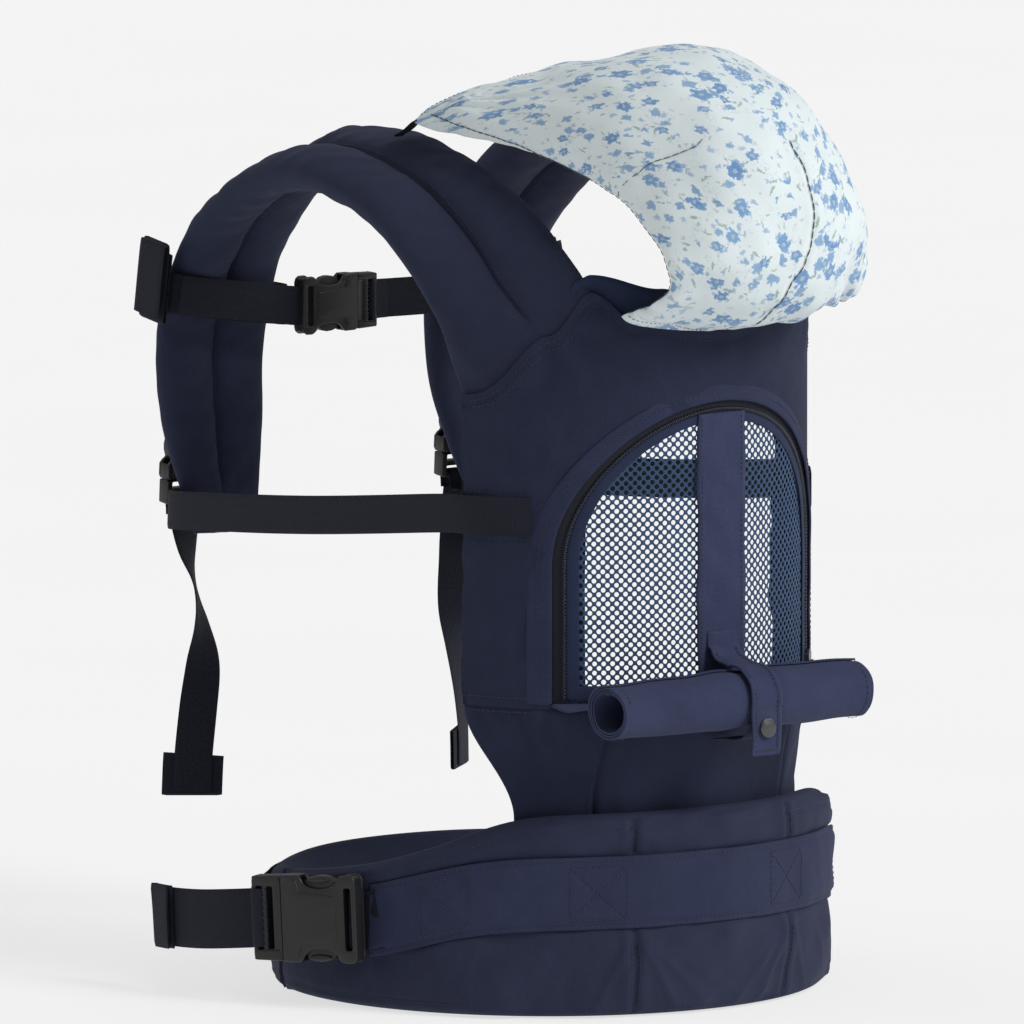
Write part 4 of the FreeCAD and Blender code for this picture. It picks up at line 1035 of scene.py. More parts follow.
def arch_sweep(bag, prof, sill, step=2.0, closed=True, mat=0, wave=None):
    """Sweeps a closed section (distance out from the 95 mm line, height off the panel)."""
    ref = arch_line(99.0, sill, step)
    nrow = len(ref)
    cols = len(prof)
    V_, UV = np.zeros((nrow, cols, 3)), np.zeros((nrow, cols, 2))
    leg = max(2, int((289.0 - sill) / step))
    arc = nrow - 2 * leg
    d = np.r_[0, np.cumsum(np.linalg.norm(np.diff(ref, axis=0), axis=1))]
    for j, (half, off) in enumerate(prof):
        zs = np.linspace(sill, 289.0, leg + 1)[:-1]
        th = np.linspace(pi, 0, arc)
        line = np.vstack([np.stack([np.full(leg, -half), zs], -1),
                          np.stack([half * np.cos(th), 289.0 + half * np.sin(th)], -1),
                          np.stack([np.full(leg, half), zs[::-1]], -1)])
        oo = off if wave is None else off + wave(d)
        s = s_of_x(line[:, 0])
        V_[:, j] = panel(s, line[:, 1], oo)
        UV[:, j, 0] = d / 1000.0
        UV[:, j, 1] = (half + off) / 1000.0
    f = grid_faces(nrow, cols, wrap_c=closed)
    bag.add(V_.reshape(-1, 3), f, UV.reshape(-1, 2), mat)
    if closed:
        o = bag.n - nrow * cols
        bag.f += [tuple(o + k for k in range(cols))[::-1], tuple(o + (nrow - 1) * cols + k for k in range(cols))]
        bag.m += [mat, mat]
    return bag


def build_window_trim():
    # folded canvas edge that stands over the zip
    wv = lambda d: 0.25 * np.sin(d / 19.0) + 0.15 * np.sin(d / 6.1 + 1)
    lip = [(113.0, 1.9), (111.5, 2.6), (109.0, 3.0), (106.0, 3.5), (103.8, 3.9), (102.6, 3.7), (102.0, 3.0),
           (102.6, 2.2), (104.5, 1.7), (109.0, 1.5), (112.5, 1.5)]
    b = arch_sweep(Bag(), lip, 200.0, 2.0, wave=wv)
    ob = b.object("window_folded_edge", M_CANVAS)
    subsurf(ob, 1)
    bake_mods(ob)
    put(ob, nodes=["window_binding"])
    st = Bag()
    line = arch_line(108.2, 204.0, 3.0)
    p, n = on_panel(line, 3.25)
    stitches(st, p, n)
    put(st.object("window_edge_stitching", M_THREAD))

    # woven zip tape and the narrow border that holds the net
    t = arch_sweep(Bag(), [(104.0, 0.55), (99.0, 0.55), (94.9, 0.5), (94.9, -0.4), (104.0, -0.4)], 202.0, 2.2)
    bd = [(96.4, 0.75), (95.2, 1.35), (93.0, 1.6), (90.2, 1.5), (89.6, 1.0), (90.2, 0.5), (96.4, 0.3)]
    ob = t.object("zip_tape_cloth", M_TAPE)
    ob.data.set_sharp_from_angle(angle=RAD(40))
    put(ob, nodes=["zipper_tape"])
    bb = arch_sweep(Bag(), bd, 203.0, 2.2, wave=lambda d: 0.12 * np.sin(d / 9.0))
    sill = []
    for (z0, z1) in ((202.0, 212.0),):
        xs = np.linspace(-93, 93, 80)
        prof = [(z0, 0.4), (z0, 1.3), ((z0 + z1) / 2, 1.6), (z1, 1.4), (z1 + 0.4, 0.9), (z1, 0.4)]
        V_ = np.stack([panel(s_of_x(xs), np.full(80, q[0]), q[1]) for q in prof], 1)
        UV = np.stack([np.stack([xs, np.full(80, q[0])], -1) for q in prof], 1) / 1000.0
        bb.add(V_.reshape(-1, 3), grid_faces(80, 6, wrap_c=True), UV.reshape(-1, 2))
    ob = bb.object("window_border", M_LINING)
    subsurf(ob, 1)
    bake_mods(ob)
    put(ob)

    # coil: one bent element per tooth
    pts, tl = resample(arch_line(97.0, 204.5, 1.0), step=1.12)
    tan = unit(np.gradient(pts, axis=0))
    P, N = on_panel(pts, 1.5)
    s = s_of_x(pts[:, 0])
    out2 = np.stack([tan[:, 1] * -1, tan[:, 0]], -1)
    Q, _ = on_panel(pts + out2 * 0.5, 1.5)
    side = unit(Q - P)
    T = unit(np.gradient(P, axis=0))
    cb = Bag()
    prof = [(-1.35, -0.55, 0.30), (-1.05, 0.35, 0.42), (-0.2, 0.72, 0.46), (0.7, 0.55, 0.44), (1.3, 0.0, 0.40), (1.45, -0.6, 0.24)]
    for i in range(len(P)):
        vs = []
        lean = 0.18 if i % 2 else -0.10
        for (a, h, rr) in prof:
            c = P[i] + side[i] * a + N[i] * h + T[i] * lean * a
            for q in range(6):
                an = q * pi / 3
                vs.append(c + T[i] * math.cos(an) * rr + N[i] * math.sin(an) * rr * 0.9)
        cb.add(vs, grid_faces(6, 6, wrap_c=True) + [(0, 1, 2, 3, 4, 5), (35, 34, 33, 32, 31, 30)])
    ob = cb.object("zip_coil_teeth", M_COIL)
    put(ob, nodes=["zipper_coil"])
    return ob


def build_centre_band():
    z = np.linspace(203.0, 383.5, 92)
    e = 18.6 + 0.5 * np.sin(z / 13.0) + 0.3 * np.sin(z / 5.3 + 1)
    e2 = 18.8 + 0.5 * np.sin(z / 11.0 + 2) + 0.3 * np.sin(z / 6.1)
    cols = 15
    tt = np.linspace(0, 1, cols)
    X = -e[:, None] * (1 - tt) + e2[:, None] * tt
    Z = np.broadcast_to(z[:, None], X.shape)
    o = 1.5 + 0.55 * Wob(41, 34.0)(np.stack([X, 0 * X, Z], -1)) * np.sin(pi * tt) + 0.4 * np.exp(-((np.abs(X) - 17) / 1.5) ** 2)
    P = panel(s_of_x(X), Z, o)
    b = Bag().add(P.reshape(-1, 3), grid_faces(92, cols), np.stack([X, Z], -1).reshape(-1, 2) / 1000.0)
    ob = b.object("window_band_canvas", M_CANVAS_LIT)
    solidify(ob, 1.3, 1.0)
    bake_mods(ob)
    put(ob, nodes=["window_center_band"])
    cloth(ob, "stretched", "body_panel_canvas", laid_out=False)
    st = Bag()
    for sg in (-1, 1):
        line = np.stack([np.full(60, sg * 15.6), np.linspace(206, 382, 60)], -1)
        p, n = on_panel(line, 2.95)
        stitches(st, p, n, length=2.4)
    put(st.object("window_band_stitching", M_THREAD))


# =====================================================================
# rolled window cover and its snap strap
# =====================================================================
RY, RZ, RR = -203.0, 203.0, 20.5


def roll_taper(x):
    """The cover is rolled tighter towards its right end."""
    return 0.955 - 0.085 * smooth01((-20.0 - x) / 85.0) - 0.035 * smooth01((x - 30.0) / 60.0)


def build_roll():
    turns = 3.05
    nth, nx = 190, 110
    th = np.linspace(0, turns * 2 * pi, nth)
    xx = np.linspace(-1, 1, nx)
    TH, XX = np.meshgrid(th, xx, indexing="ij")
    k = TH / (2 * pi)
    w = Wob(52, 55.0)
    # each turn ends a little further in or out, and the cloth wanders
    half = 101.2 - 0.7 * k + 0.9 * np.sin(TH * 0.9 + 1.0)
    X = -11.0 + XX * half
    base = RR - 0.75 - 1.95 * k
    a = 0.45 * pi - TH            # angle in the y,z plane; starts high at the back
    flat = 0.45 * np.cos(2 * (a - 0.3))
    wr = 0.65 * w(np.stack([X, 26 * np.cos(a), 26 * np.sin(a)], -1)) + 0.22 * W_FINE(np.stack([X * 0.4, 30 * np.cos(a), 30 * np.sin(a)], -1))
    pinch = -1.5 * np.exp(-(X / 13.0) ** 2) + 0.6 * np.exp(-((np.abs(X) - 22) / 9.0) ** 2)
    spiral_crease = 0.55 * np.sin(a * 2 + X / 17.0)
    r = base + flat + wr * 0.8 + pinch + 0.4 * spiral_crease
    r = np.minimum(r, RR + 0.6) * roll_taper(X)
    sag = -0.6 * (XX ** 2)
    Y = RY + r * np.cos(a)
    Z = RZ + r * np.sin(a) + sag
    b = Bag().add(np.stack([X, Y, Z], -1).reshape(-1, 3), grid_faces(nth, nx, flip=True),
                  np.stack([X, TH * 18.0], -1).reshape(-1, 2) / 1000.0)
    ob = b.object("window_cover_roll", M_CANVAS_LIT)
    solidify(ob, 1.25, -1.0)
    bake_mods(ob)
    ob.data.set_sharp_from_angle(angle=RAD(60))
    put(ob, nodes=["window_flap_roll"])
    cloth(ob, "folded", "window_cover_sill", laid_out=False)
    st = Bag()
    for sg in (-1, 1):
        an = np.linspace(0.45 * pi, 0.45 * pi - 1.9 * pi, 90)
        xe = -11.0 + sg * 95.0
        re = RR * roll_taper(xe) + 0.1
        p = np.stack([np.full(90, xe), RY + re * np.cos(an), RZ + re * np.sin(an) - 0.5], -1)
        n = np.stack([0 * an, np.cos(an), np.sin(an)], -1)
        stitches(st, p, n)
    put(st.object("roll_hem_stitching", M_THREAD))
    # the cover leaves the sill behind the roll and sags into it
    nx, nr = 90, 14
    xs = np.linspace(-103, 90, nx)
    k = np.linspace(0, 1, nr)
    P0 = panel(s_of_x(xs), np.full(nx, 200.3), 2.2)
    P1 = np.stack([xs * 1.02, np.full(nx, RY + 13.5), np.full(nx, RZ + 13.2)], -1)
    Pm = (P0 + P1) / 2
    gap = np.linalg.norm(P1 - P0, axis=1)
    Pm[:, 2] = 200.0 - 0.16 * gap
    K = k[:, None, None]
    G = (1 - K) ** 2 * P0 + 2 * K * (1 - K) * Pm + K ** 2 * P1
    G[..., 2] += 0.5 * W_FINE(G) * np.sin(pi * k)[:, None]
    b = Bag().add(G.reshape(-1, 3), grid_faces(nr, nx), np.stack([np.broadcast_to(xs, (nr, nx)), np.broadcast_to(k[:, None] * 40, (nr, nx))], -1).reshape(-1, 2) / 1000.0)
    ob = b.object("window_cover_sill", M_CANVAS_LIT)
    solidify(ob, 1.2, 0.0)
    bake_mods(ob)
    put(ob)
    cloth(ob, "hung", "body_panel_canvas", laid_out=False)


def build_snap_strap():
    deg = np.linspace(72, 193, 40)
    arc = [(RY + 21.3 * math.cos(RAD(d)), RZ + 21.3 * math.sin(RAD(d))) for d in deg]
    # camera side is at 180 degrees
    pts = [(-178.6, 244.0), (-180.2, 234.0), (-186.0, 227.6)] + arc[2:] + [(-224.2, 190.0), (-223.4, 179.0), (-222.6, 168.5)]
    P = catmull([(0, y, z) for y, z in pts], 3)
    P, t = resample(P, step=1.6)
    tan = unit(np.gradient(P, axis=0))
    nrm = np.cross(tan, [1.0, 0, 0])
    nrm *= np.sign((nrm * (P - np.array([0, RY + 10, RZ]))).sum(1))[:, None]
    cols = 19
    xx = np.linspace(-1, 1, cols)
    T_, X_ = np.meshgrid(t, xx, indexing="ij")
    half = 11.7 + 0.25 * np.sin(T_ / 9.0)
    X = X_ * half
    end = smooth01((t[-1] - T_) / 2.5)
    X = X * (0.9 + 0.1 * end)
    d = 0.35 * Wob(61, 22.0)(np.stack([X, T_, 0 * T_], -1)) + 0.5 * np.exp(-((np.abs(X) - 10.4) / 1.2) ** 2) - 0.35 * np.exp(-((np.abs(X) - 8.6) / 0.9) ** 2)
    G = P[:, None, :] + nrm[:, None, :] * d[..., None]
    G[..., 0] += X
    b = Bag().add(G.reshape(-1, 3), grid_faces(len(P), cols), np.stack([X, T_], -1).reshape(-1, 2) / 1000.0)
    ob = b.object("cover_snap_strap", M_CANVAS_LIT)
    solidify(ob, 1.2, 0.0)
    bake_mods(ob)
    start = place([(0, RY - 22.2, 201.5)])[0]
    end = place([(0, RY - 22.2, 195.0)])[0]
    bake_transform(ob)
    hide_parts("flap_retaining_strap", "flap_snap_tab")
    st = Bag()
    keep = t < t[-1] - 3.5
    for sg in (-1, 1):
        q = P[keep] + nrm[keep] * 0.75
        q = q.copy()
        q[:, 0] = sg * 8.7
        stitches(st, q, nrm[keep], length=2.2)
    k = np.argmin(np.abs(t - (t[-1] - 3.5)))
    q = np.stack([np.linspace(-8.7, 8.7, 8), np.full(8, (P[k] + nrm[k] * 0.75)[1]), np.full(8, P[k][2])], -1)
    stitches(st, q, np.tile(nrm[k], (8, 1)), length=2.2)
    so = st.object("cover_snap_strap_stitching", M_THREAD)
    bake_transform(so)
    # fixed lower tab that carries the stud
    path = [(-180.5, 175), (-194, 177), (-205, 177.6), (-213, 179.6), (-218.0, 184.0), (-220.4, 190.0)]
    Q, tq = resample(catmull([(0, y, z) for y, z in path], 6), step=1.8)
    ob = ribbon("cover_stud_tab", Q, np.tile([[1.0, 0, 0]], (len(Q), 1)), 22.0, 1.1, M_CANVAS, cols=11)
    put(ob, nodes=["flap_stud_tab"])


# =====================================================================
# waist belt
# =====================================================================
def ring_pt(phi, r, z):
    phi, r, z = np.broadcast_arrays(np.asarray(phi, float), np.asarray(r, float), np.asarray(z, float))
    return np.stack([r * np.sin(phi), -r * np.cos(phi), z], -1)


def belt_relief(phi, z):
    """How far the belt's outer face stands off its plain radius."""
    y = -R * np.cos(phi)
    top, mid = top_of(y), mid_of(y)
    p = np.stack([R * phi, 0 * phi, z], -1)
    front = smooth01((1.75 - np.abs(phi)) / 0.7)
    d = (0.7 + 0.5 * front) * Wob(71, 70.0)(p) + 0.28 * W_FINE(p)
    dz = z - mid
    cas = smooth01((25.5 - np.abs(dz)) / 3.0) * (np.abs(phi) < 1.36)
    d = d * (1 - 0.75 * cas) - 1.3 * cas
    # the padding swells above and below the casing, and more towards the front
    d += front * 1.5 * np.exp(-((dz - 34) / 9.0) ** 2)
    d += front * (2.6 * np.exp(-((dz + 45) / 17.0) ** 2))
    # puckers under the casing's lower seam and by the bottom edge
    ga = np.sin(R * phi / 8.5 + 1.7 * np.sin(R * phi / 31.0)) + 0.6 * np.sin(R * phi / 4.9 + 1)
    d += 0.42 * front * ga * np.exp(-((dz + 29) / 8.0) ** 2)
    d += 0.30 * ga * np.exp(-((z - 5) / 7.0) ** 2)
    d += 0.34 * ga * np.exp(-((top - z - 6) / 5.0) ** 2)
    for f0 in (-20.4, 20.4):
        q = R * (phi - RAD(f0))
        free = 1 - 0.8 * cas
        d += free * (-2.4 * np.exp(-(q / 1.7) ** 2) + 0.9 * np.exp(-((np.abs(q) - 6) / 3.5) ** 2))
        # creases that fan down and outwards from the seam under the casing
        for k, (sl, w, amp) in enumerate(((0.55, 3.0, 1.7), (1.0, 3.4, 1.4), (-0.5, 2.8, 1.2), (1.6, 3.2, 0.9))):
            c = q - sl * (mid - 24 - z) * (1 if f0 < 0 else -1)
            d += amp * np.exp(-(c / w) ** 2) * smooth01((mid - 27 - z) / 10.0) * smooth01((z + 4) / 16.0)
    for f0, sl in ((-0.95, 0.35), (-1.35, -0.25), (0.95, -0.35), (1.35, 0.25), (-0.62, 0.6), (0.62, -0.6)):
        c = R * (phi - f0) - sl * (z - 30)
        d += 1.0 * np.exp(-(c / 4.5) ** 2) * np.exp(-((z - 26) / 18.0) ** 2)
    # stitched edges
    d += -1.2 * np.exp(-((top - z - 8.5) / 1.6) ** 2) - 1.0 * np.exp(-((z - 7.5) / 1.6) ** 2)
    return d


def build_belt():
    g0, g1 = RAD(-112 + 0.9), RAD(-112 + 360 - 0.9)
    n = 560
    ph = np.linspace(g0, g1, n)
    mo, me_, mi = 44, 9, 16
    vs = np.linspace(0, 1, mo)
    cols = []
    y = -R * np.cos(ph)
    top = top_of(y)
    T = 17.6
    # thinner padding in the wings
    wing = smooth01((np.abs(ph) - 1.55) / 0.9)
    wing = np.where(ph > pi, 1.0, wing)
    T = T - 3.0 * wing
    end = np.minimum(smooth01((ph - g0) / 0.05), smooth01((g1 - ph) / 0.05))
    T = T * (0.45 + 0.55 * end)
    e = 6.0
    for v in vs:                       # outer face, bottom to top
        z = e * 0.55 + (top - e * 1.1) * v
        rim = np.minimum(z, top - z)
        inset = 2.6 * (1 - smooth01(rim / 9.0)) ** 1.5
        d = belt_relief(ph, z)
        cols.append(ring_pt(ph, R - inset + d - 0.6, z))
    for k in range(1, me_ + 1):        # over the top edge
        a = pi * k / (me_ + 1)
        mid = R - 2.6 - (T - 5.2) / 2 - 0.6
        cols.append(ring_pt(ph, mid + (T - 5.2) / 2 * np.cos(a), top - e * 0.55 + e * 0.62 * np.sin(a)))
    for v in np.linspace(1, 0, mi):    # inner face
        z = e * 0.55 + (top - e * 1.1) * v
        w = 0.8 * Wob(73, 60.0)(np.stack([R * ph, 0 * ph + 90, z], -1))
        rim = np.minimum(z, top - z)
        inset = 2.6 * (1 - smooth01(rim / 9.0)) ** 1.5
        cols.append(ring_pt(ph, R - T + inset - w * 0.6 + 0.4, z))
    for k in range(1, me_ + 1):
        a = pi * k / (me_ + 1)
        mid = R - 2.6 - (T - 5.2) / 2 - 0.6
        cols.append(ring_pt(ph, mid - (T - 5.2) / 2 * np.cos(a), e * 0.55 - e * 0.5 * np.sin(a)))
    G = np.stack(cols, 1)
    m = G.shape[1]
    d = np.r_[0, np.cumsum(np.linalg.norm(np.diff(G[10], axis=0), axis=1))]
    UV = np.zeros((n, m, 2))
    UV[..., 0] = (R * ph)[:, None]
    UV[..., 1] = d[None, :]
    b = Bag().add(G.reshape(-1, 3), grid_faces(n, m, wrap_c=True, flip=True), UV.reshape(-1, 2) / 1000.0)
    b.f += [tuple(range(m)), tuple((n - 1) * m + k for k in range(m))[::-1]]
    b.m += [0, 0]
    ob = b.object("waist_belt_padded", M_CANVAS2)
    put(ob, nodes=["waist_belt_cover", "waist_belt_front_pad", "waist_belt_wing_pad"])
    st = Bag()

    def row(phs, zs):
        p = ring_pt(phs, R - 0.5 + belt_relief(phs, zs), zs)
        stitches(st, p, ring_pt(phs, 1.0, 0 * zs))

    phs = np.linspace(g0 + 0.04, g1 - 0.04, 500)
    tp = top_of(-R * np.cos(phs))
    row(phs, tp - 8.5)
    row(phs, 0 * phs + 7.5)
    for f0 in (-20.4, 20.4):
        for q in (-2.6, 2.6):
            zz = np.linspace(7, 48, 20)
            row(RAD(f0) + q / R + 0 * zz, zz)
            zz = np.linspace(107, 121, 8)
            row(RAD(f0) + q / R + 0 * zz, zz)
    put(st.object("waist_belt_stitching", M_THREAD))
    return ob


CAS_END = 1.345


def casing_pt(phi, dz, off):
    y = -R * np.cos(phi)
    p = np.stack([R * phi, 0 * phi, dz + 200], -1)
    bul = 1.1 * smooth01((20.5 - np.abs(dz)) / 5.0) - 0.45 * np.exp(-((np.abs(dz) - 20.6) / 0.9) ** 2)
    w = 0.42 * Wob(81, 46.0)(p) + 0.15 * W_FINE(p)
    ga = 0.22 * np.sin(R * phi / 5.7 + 1.3 * np.sin(R * phi / 21.0)) * np.exp(-((np.abs(dz) - 21) / 3.0) ** 2)
    return ring_pt(phi, R + 1.6 + off * 1.0 + bul + w + ga, mid_of(y) + dz)


def build_casing():
    n = 330
    ph = np.linspace(-CAS_END, CAS_END, n)
    prof = [(-23.0, -1.6), (-23.4, -0.6), (-22.6, 0.3)] + [(d, 0.35) for d in np.linspace(-21.6, 21.6, 31)] + \
           [(22.6, 0.3), (23.4, -0.6), (23.0, -1.6)]
    G = np.stack([casing_pt(ph, np.full(n, a), b) for a, b in prof], 1)
    m = len(prof)
    UV = np.stack([np.broadcast_to((R * ph)[:, None], (n, m)), np.broadcast_to(np.array([q[0] for q in prof])[None], (n, m))], -1)
    b = Bag().add(G.reshape(-1, 3), grid_faces(n, m, flip=True), UV.reshape(-1, 2) / 1000.0)
    ob = b.object("waist_belt_casing_cloth", M_CANVAS)
    solidify(ob, 0.9, -1.0)
    bake_mods(ob)
    put(ob, nodes=["waist_belt_casing"])
    cloth(ob, "stretched", "waist_belt_padded", laid_out=False)
    st = Bag()

    def row(phs, dz):
        phs, dz = np.asarray(phs, float), np.asarray(dz, float)
        q = resample(np.stack([phs * R, dz], -1), step=3.0)[0]
        p = casing_pt(q[:, 0] / R, q[:, 1], 0.5)
        stitches(st, p, ring_pt(q[:, 0] / R, 1.0, 0 * q[:, 0]))

    ps = np.linspace(-CAS_END + 0.02, CAS_END - 0.02, 200)
    row(ps, 0 * ps + 20.8)
    row(ps, 0 * ps - 20.8)

    def xbox(f0, half, hh=17.0):
        a, c = RAD(f0) - half / R, RAD(f0) + half / R
        row([a, c, c, a, a], [-hh, -hh, hh, hh, -hh])
        row([a, c], [-hh, hh])
        row([a, c], [hh, -hh])

    for f0, hf in ((-59.5, 17.0), (-28.0, 18.0), (18.5, 17.0), (59.5, 17.0)):
        xbox(f0, hf)
    put(st.object("casing_stitching", M_THREAD))


# =====================================================================
# webbing
# =====================================================================
def build_waist_webbing():
    # round the belt from the casing's left end to behind the right hip, then straight to the buckle
    b = Bag()
    ph = np.linspace(1.30, RAD(360 - 133.4), 240)
    y = -R * np.cos(ph)
    pts = ring_pt(ph, R + 1.9 + 0.3 * np.sin(ph * 9), mid_of(y))
    leg = np.array([(-173.0, 80.6, 51.6), (-200.0, 52.0, 53.8), (-210.6, 34.5, 55.0), (-212.7, 29.1, 55.6), (-214.2, 22.9, 56.0)])
    path = np.vstack([pts, leg])
    path = resample(path, step=2.6)[0]
    ribbon("w", path, np.tile([[0, 0, 1.0]], (len(path), 1)), 38.0, 1.5, bag=b, cols=13)
    # out of the casing's right end and round the socket's bar
    ph = np.linspace(-1.30, -1.375, 8)
    y = -R * np.cos(ph)
    pts = ring_pt(ph, R + 2.3, mid_of(y))
    fr = buckle_frame("waist")
    bar = fr(51.6, 0, 0)
    bar2 = fr(48.0, 0, 1.2)
    back = fr(46.0, 0, -1.2)
    nodes = np.vstack([pts, (pts[-1] + bar) / 2 + np.array([-0.6, -0.6, 0]), bar + 0.0, bar2 + fr(0, 0, 1.2, True), back])
    path = resample(catmull(nodes, 5), step=1.8)[0]
    ribbon("w", path, np.tile([[0, 0, 1.0]], (len(path), 1)), 38.0, 1.5, bag=b, cols=13)
    # round the ladder bar of the plug
    q = [fr(-22 + 1.6 + 2.6 * math.cos(a) * 1.0, 0, 5.4 * math.sin(a)) for a in np.linspace(-0.5 * pi, 0.5 * pi, 9)]
    q = [fr(-12.4, 0, -3.0), fr(-16.0, 0, -4.9)] + [fr(-19.0 - 4.6 * math.cos(a), 0, 5.6 * math.sin(a)) for a in np.linspace(-0.5 * pi, 0.5 * pi, 9)] + [fr(-15.5, 0, 5.4), fr(-12.6, 0, 2.0)]
    path = resample(catmull(q, 3), step=1.4)[0]
    ribbon("w", path, np.tile([fr(0, 1, 0, True)], (len(path), 1)), 37.6, 1.4, bag=b, cols=13)
    ob = b.object("waist_webbing_strip", M_WEB)
    ob.data.set_sharp_from_angle(angle=RAD(50))
    put(ob, nodes=["waist_webbing"])

    # the loose tail, with its end folded back and sewn
    b = Bag()
    pts = catmull([(-213.8, 26.4, 55.6), (-216.0, 30.8, 54.7), (-221.5, 48, 52.7), (-225, 68, 50.5), (-225.5, 86, 49), (-224.5, 103, 48.0), (-221.0, 121.0, 47.2)], 8)
    path = resample(pts, step=1.8)[0]
    tilt = np.linspace(0, 0.22, len(path))
    acr = np.stack([0 * tilt, 0.25 * np.sin(tilt * 3), 1.0 + 0 * tilt], -1)
    ribbon("w", path, acr, 38.0, 1.5, bag=b, cols=13)
    fold = resample(np.vstack([path[-13:] + np.array([-1.9, 0.2, 0]), path[-1] + np.array([-2.9, 2.4, 0]), (path[-1] + np.array([-4.6, 0.6, 0])), path[-12:][::-1] + np.array([-5.0, 0.2, 0])]), step=1.5)[0]
    ribbon("w", fold, np.tile([[0, 0.12, 1.0]], (len(fold), 1)), 40.5, 1.7, bag=b, cols=13)
    ob = b.object("waist_webbing_tail_strip", M_WEB)
    ob.data.set_sharp_from_angle(angle=RAD(50))
    put(ob, nodes=["waist_webbing_tail"])


def build_chest_webbing():
    z = 421.0
    up = np.array([0, 0, 1.0])
    for sg, side in ((-1, "right"), (1, "left")):
        # flat loop round the strap
        cx, hx, y0, y1 = sg * 109.8, 46.9, 186.0, 229.0
        rr = 11.0
        loop = []
        for (qx, qy, a0) in ((1, -1, -0.5 * pi), (1, 1, 0), (-1, 1, 0.5 * pi), (-1, -1, pi)):
            ccx, ccy = cx + qx * (hx - rr), (y0 + rr if qy < 0 else y1 - rr)
            for a in np.linspace(a0, a0 + pi / 2, 8):
                loop.append((ccx + rr * math.cos(a), ccy + rr * math.sin(a), z))
        loop = np.array(loop)
        loop = resample(np.vstack([loop, loop[:1]]), step=2.2)[0][:-1]
        loop[:, 2] += 0.5 * np.sin(np.arange(len(loop)) / 9.0) + 0.15 * (np.abs(loop[:, 0]) - 62.6)
        acr = np.tile([[0, 0.0, 1.0]], (len(loop), 1))
        ob = ribbon(side + "_chest_loop_strip", loop, acr, 26.0, 1.5, M_WEB, closed=True, cols=11)
        ob.data.set_sharp_from_angle(angle=RAD(50))
        put(ob, nodes=[side + "_chest_loop"])
        b = Bag()
        if sg < 0:
            line = [(-155.8, 184.4), (-140, 183.9), (-110, 183.7), (-85, 183.2), (-66, 182.9), (-61.2, 182.6)]
            wrap = [(-56.9, 180.2), (-55.4, 182.6), (-57.2, 185.2), (-61.5, 185.7), (-68, 185.0)]
        else:
            line = [(155.8, 184.4), (140, 183.9), (110, 183.7), (60, 182.9), (25, 182.4), (3.0, 183.2)]
            wrap = [(-2.6, 186.6), (-5.0, 183.0), (-2.2, 179.9), (2.6, 180.6), (10.0, 181.6)]
        pts = catmull([(x, y, z) for x, y in line + wrap], 6)
        path = resample(pts, step=1.8)[0]
        path[:, 2] += -1.0 * np.sin(np.clip((np.abs(path[:, 0]) - 5) / 150, 0, 1) * pi) * (sg > 0) + 0.15 * np.maximum(0, np.abs(path[:, 0]) - 62.6)
        ribbon("w", path, np.tile([[0, 0.0, 1.0]], (len(path), 1)), 25.0, 1.4, bag=b, cols=11)
        ob = b.object(side + "_chest_webbing_strip", M_WEB)
        ob.data.set_sharp_from_angle(angle=RAD(50))
        put(ob, nodes=[side + "_chest_webbing"])
    # folded free end of the adjustable side, doubled twice
    b = Bag()
    d9 = np.array([0, -math.sin(RAD(9)), math.cos(RAD(9))])
    a9 = np.array([0, math.cos(RAD(9)), math.sin(RAD(9))])
    mid = np.array([-164.0, 202.0, 443.0])
    prof = [(-3.4, -22), (-3.4, 22), (-1.6, 25.2), (0.6, 22.5), (0.8, -21), (1.9, -24.4), (3.2, -21.0), (3.4, 20.0)]
    pts = np.array([mid + np.array([x, 0, 0]) + d9 * k for x, k in prof])
    path = resample(catmull(pts, 6), step=1.6)[0]
    ribbon("w", path, np.tile([a9], (len(path), 1)), 25.4, 1.7, bag=b, cols=11)
    ob = b.object("chest_webbing_folded_end", M_WEB)
    ob.data.set_sharp_from_angle(angle=RAD(50))
    put(ob, nodes=["chest_webbing_end"])


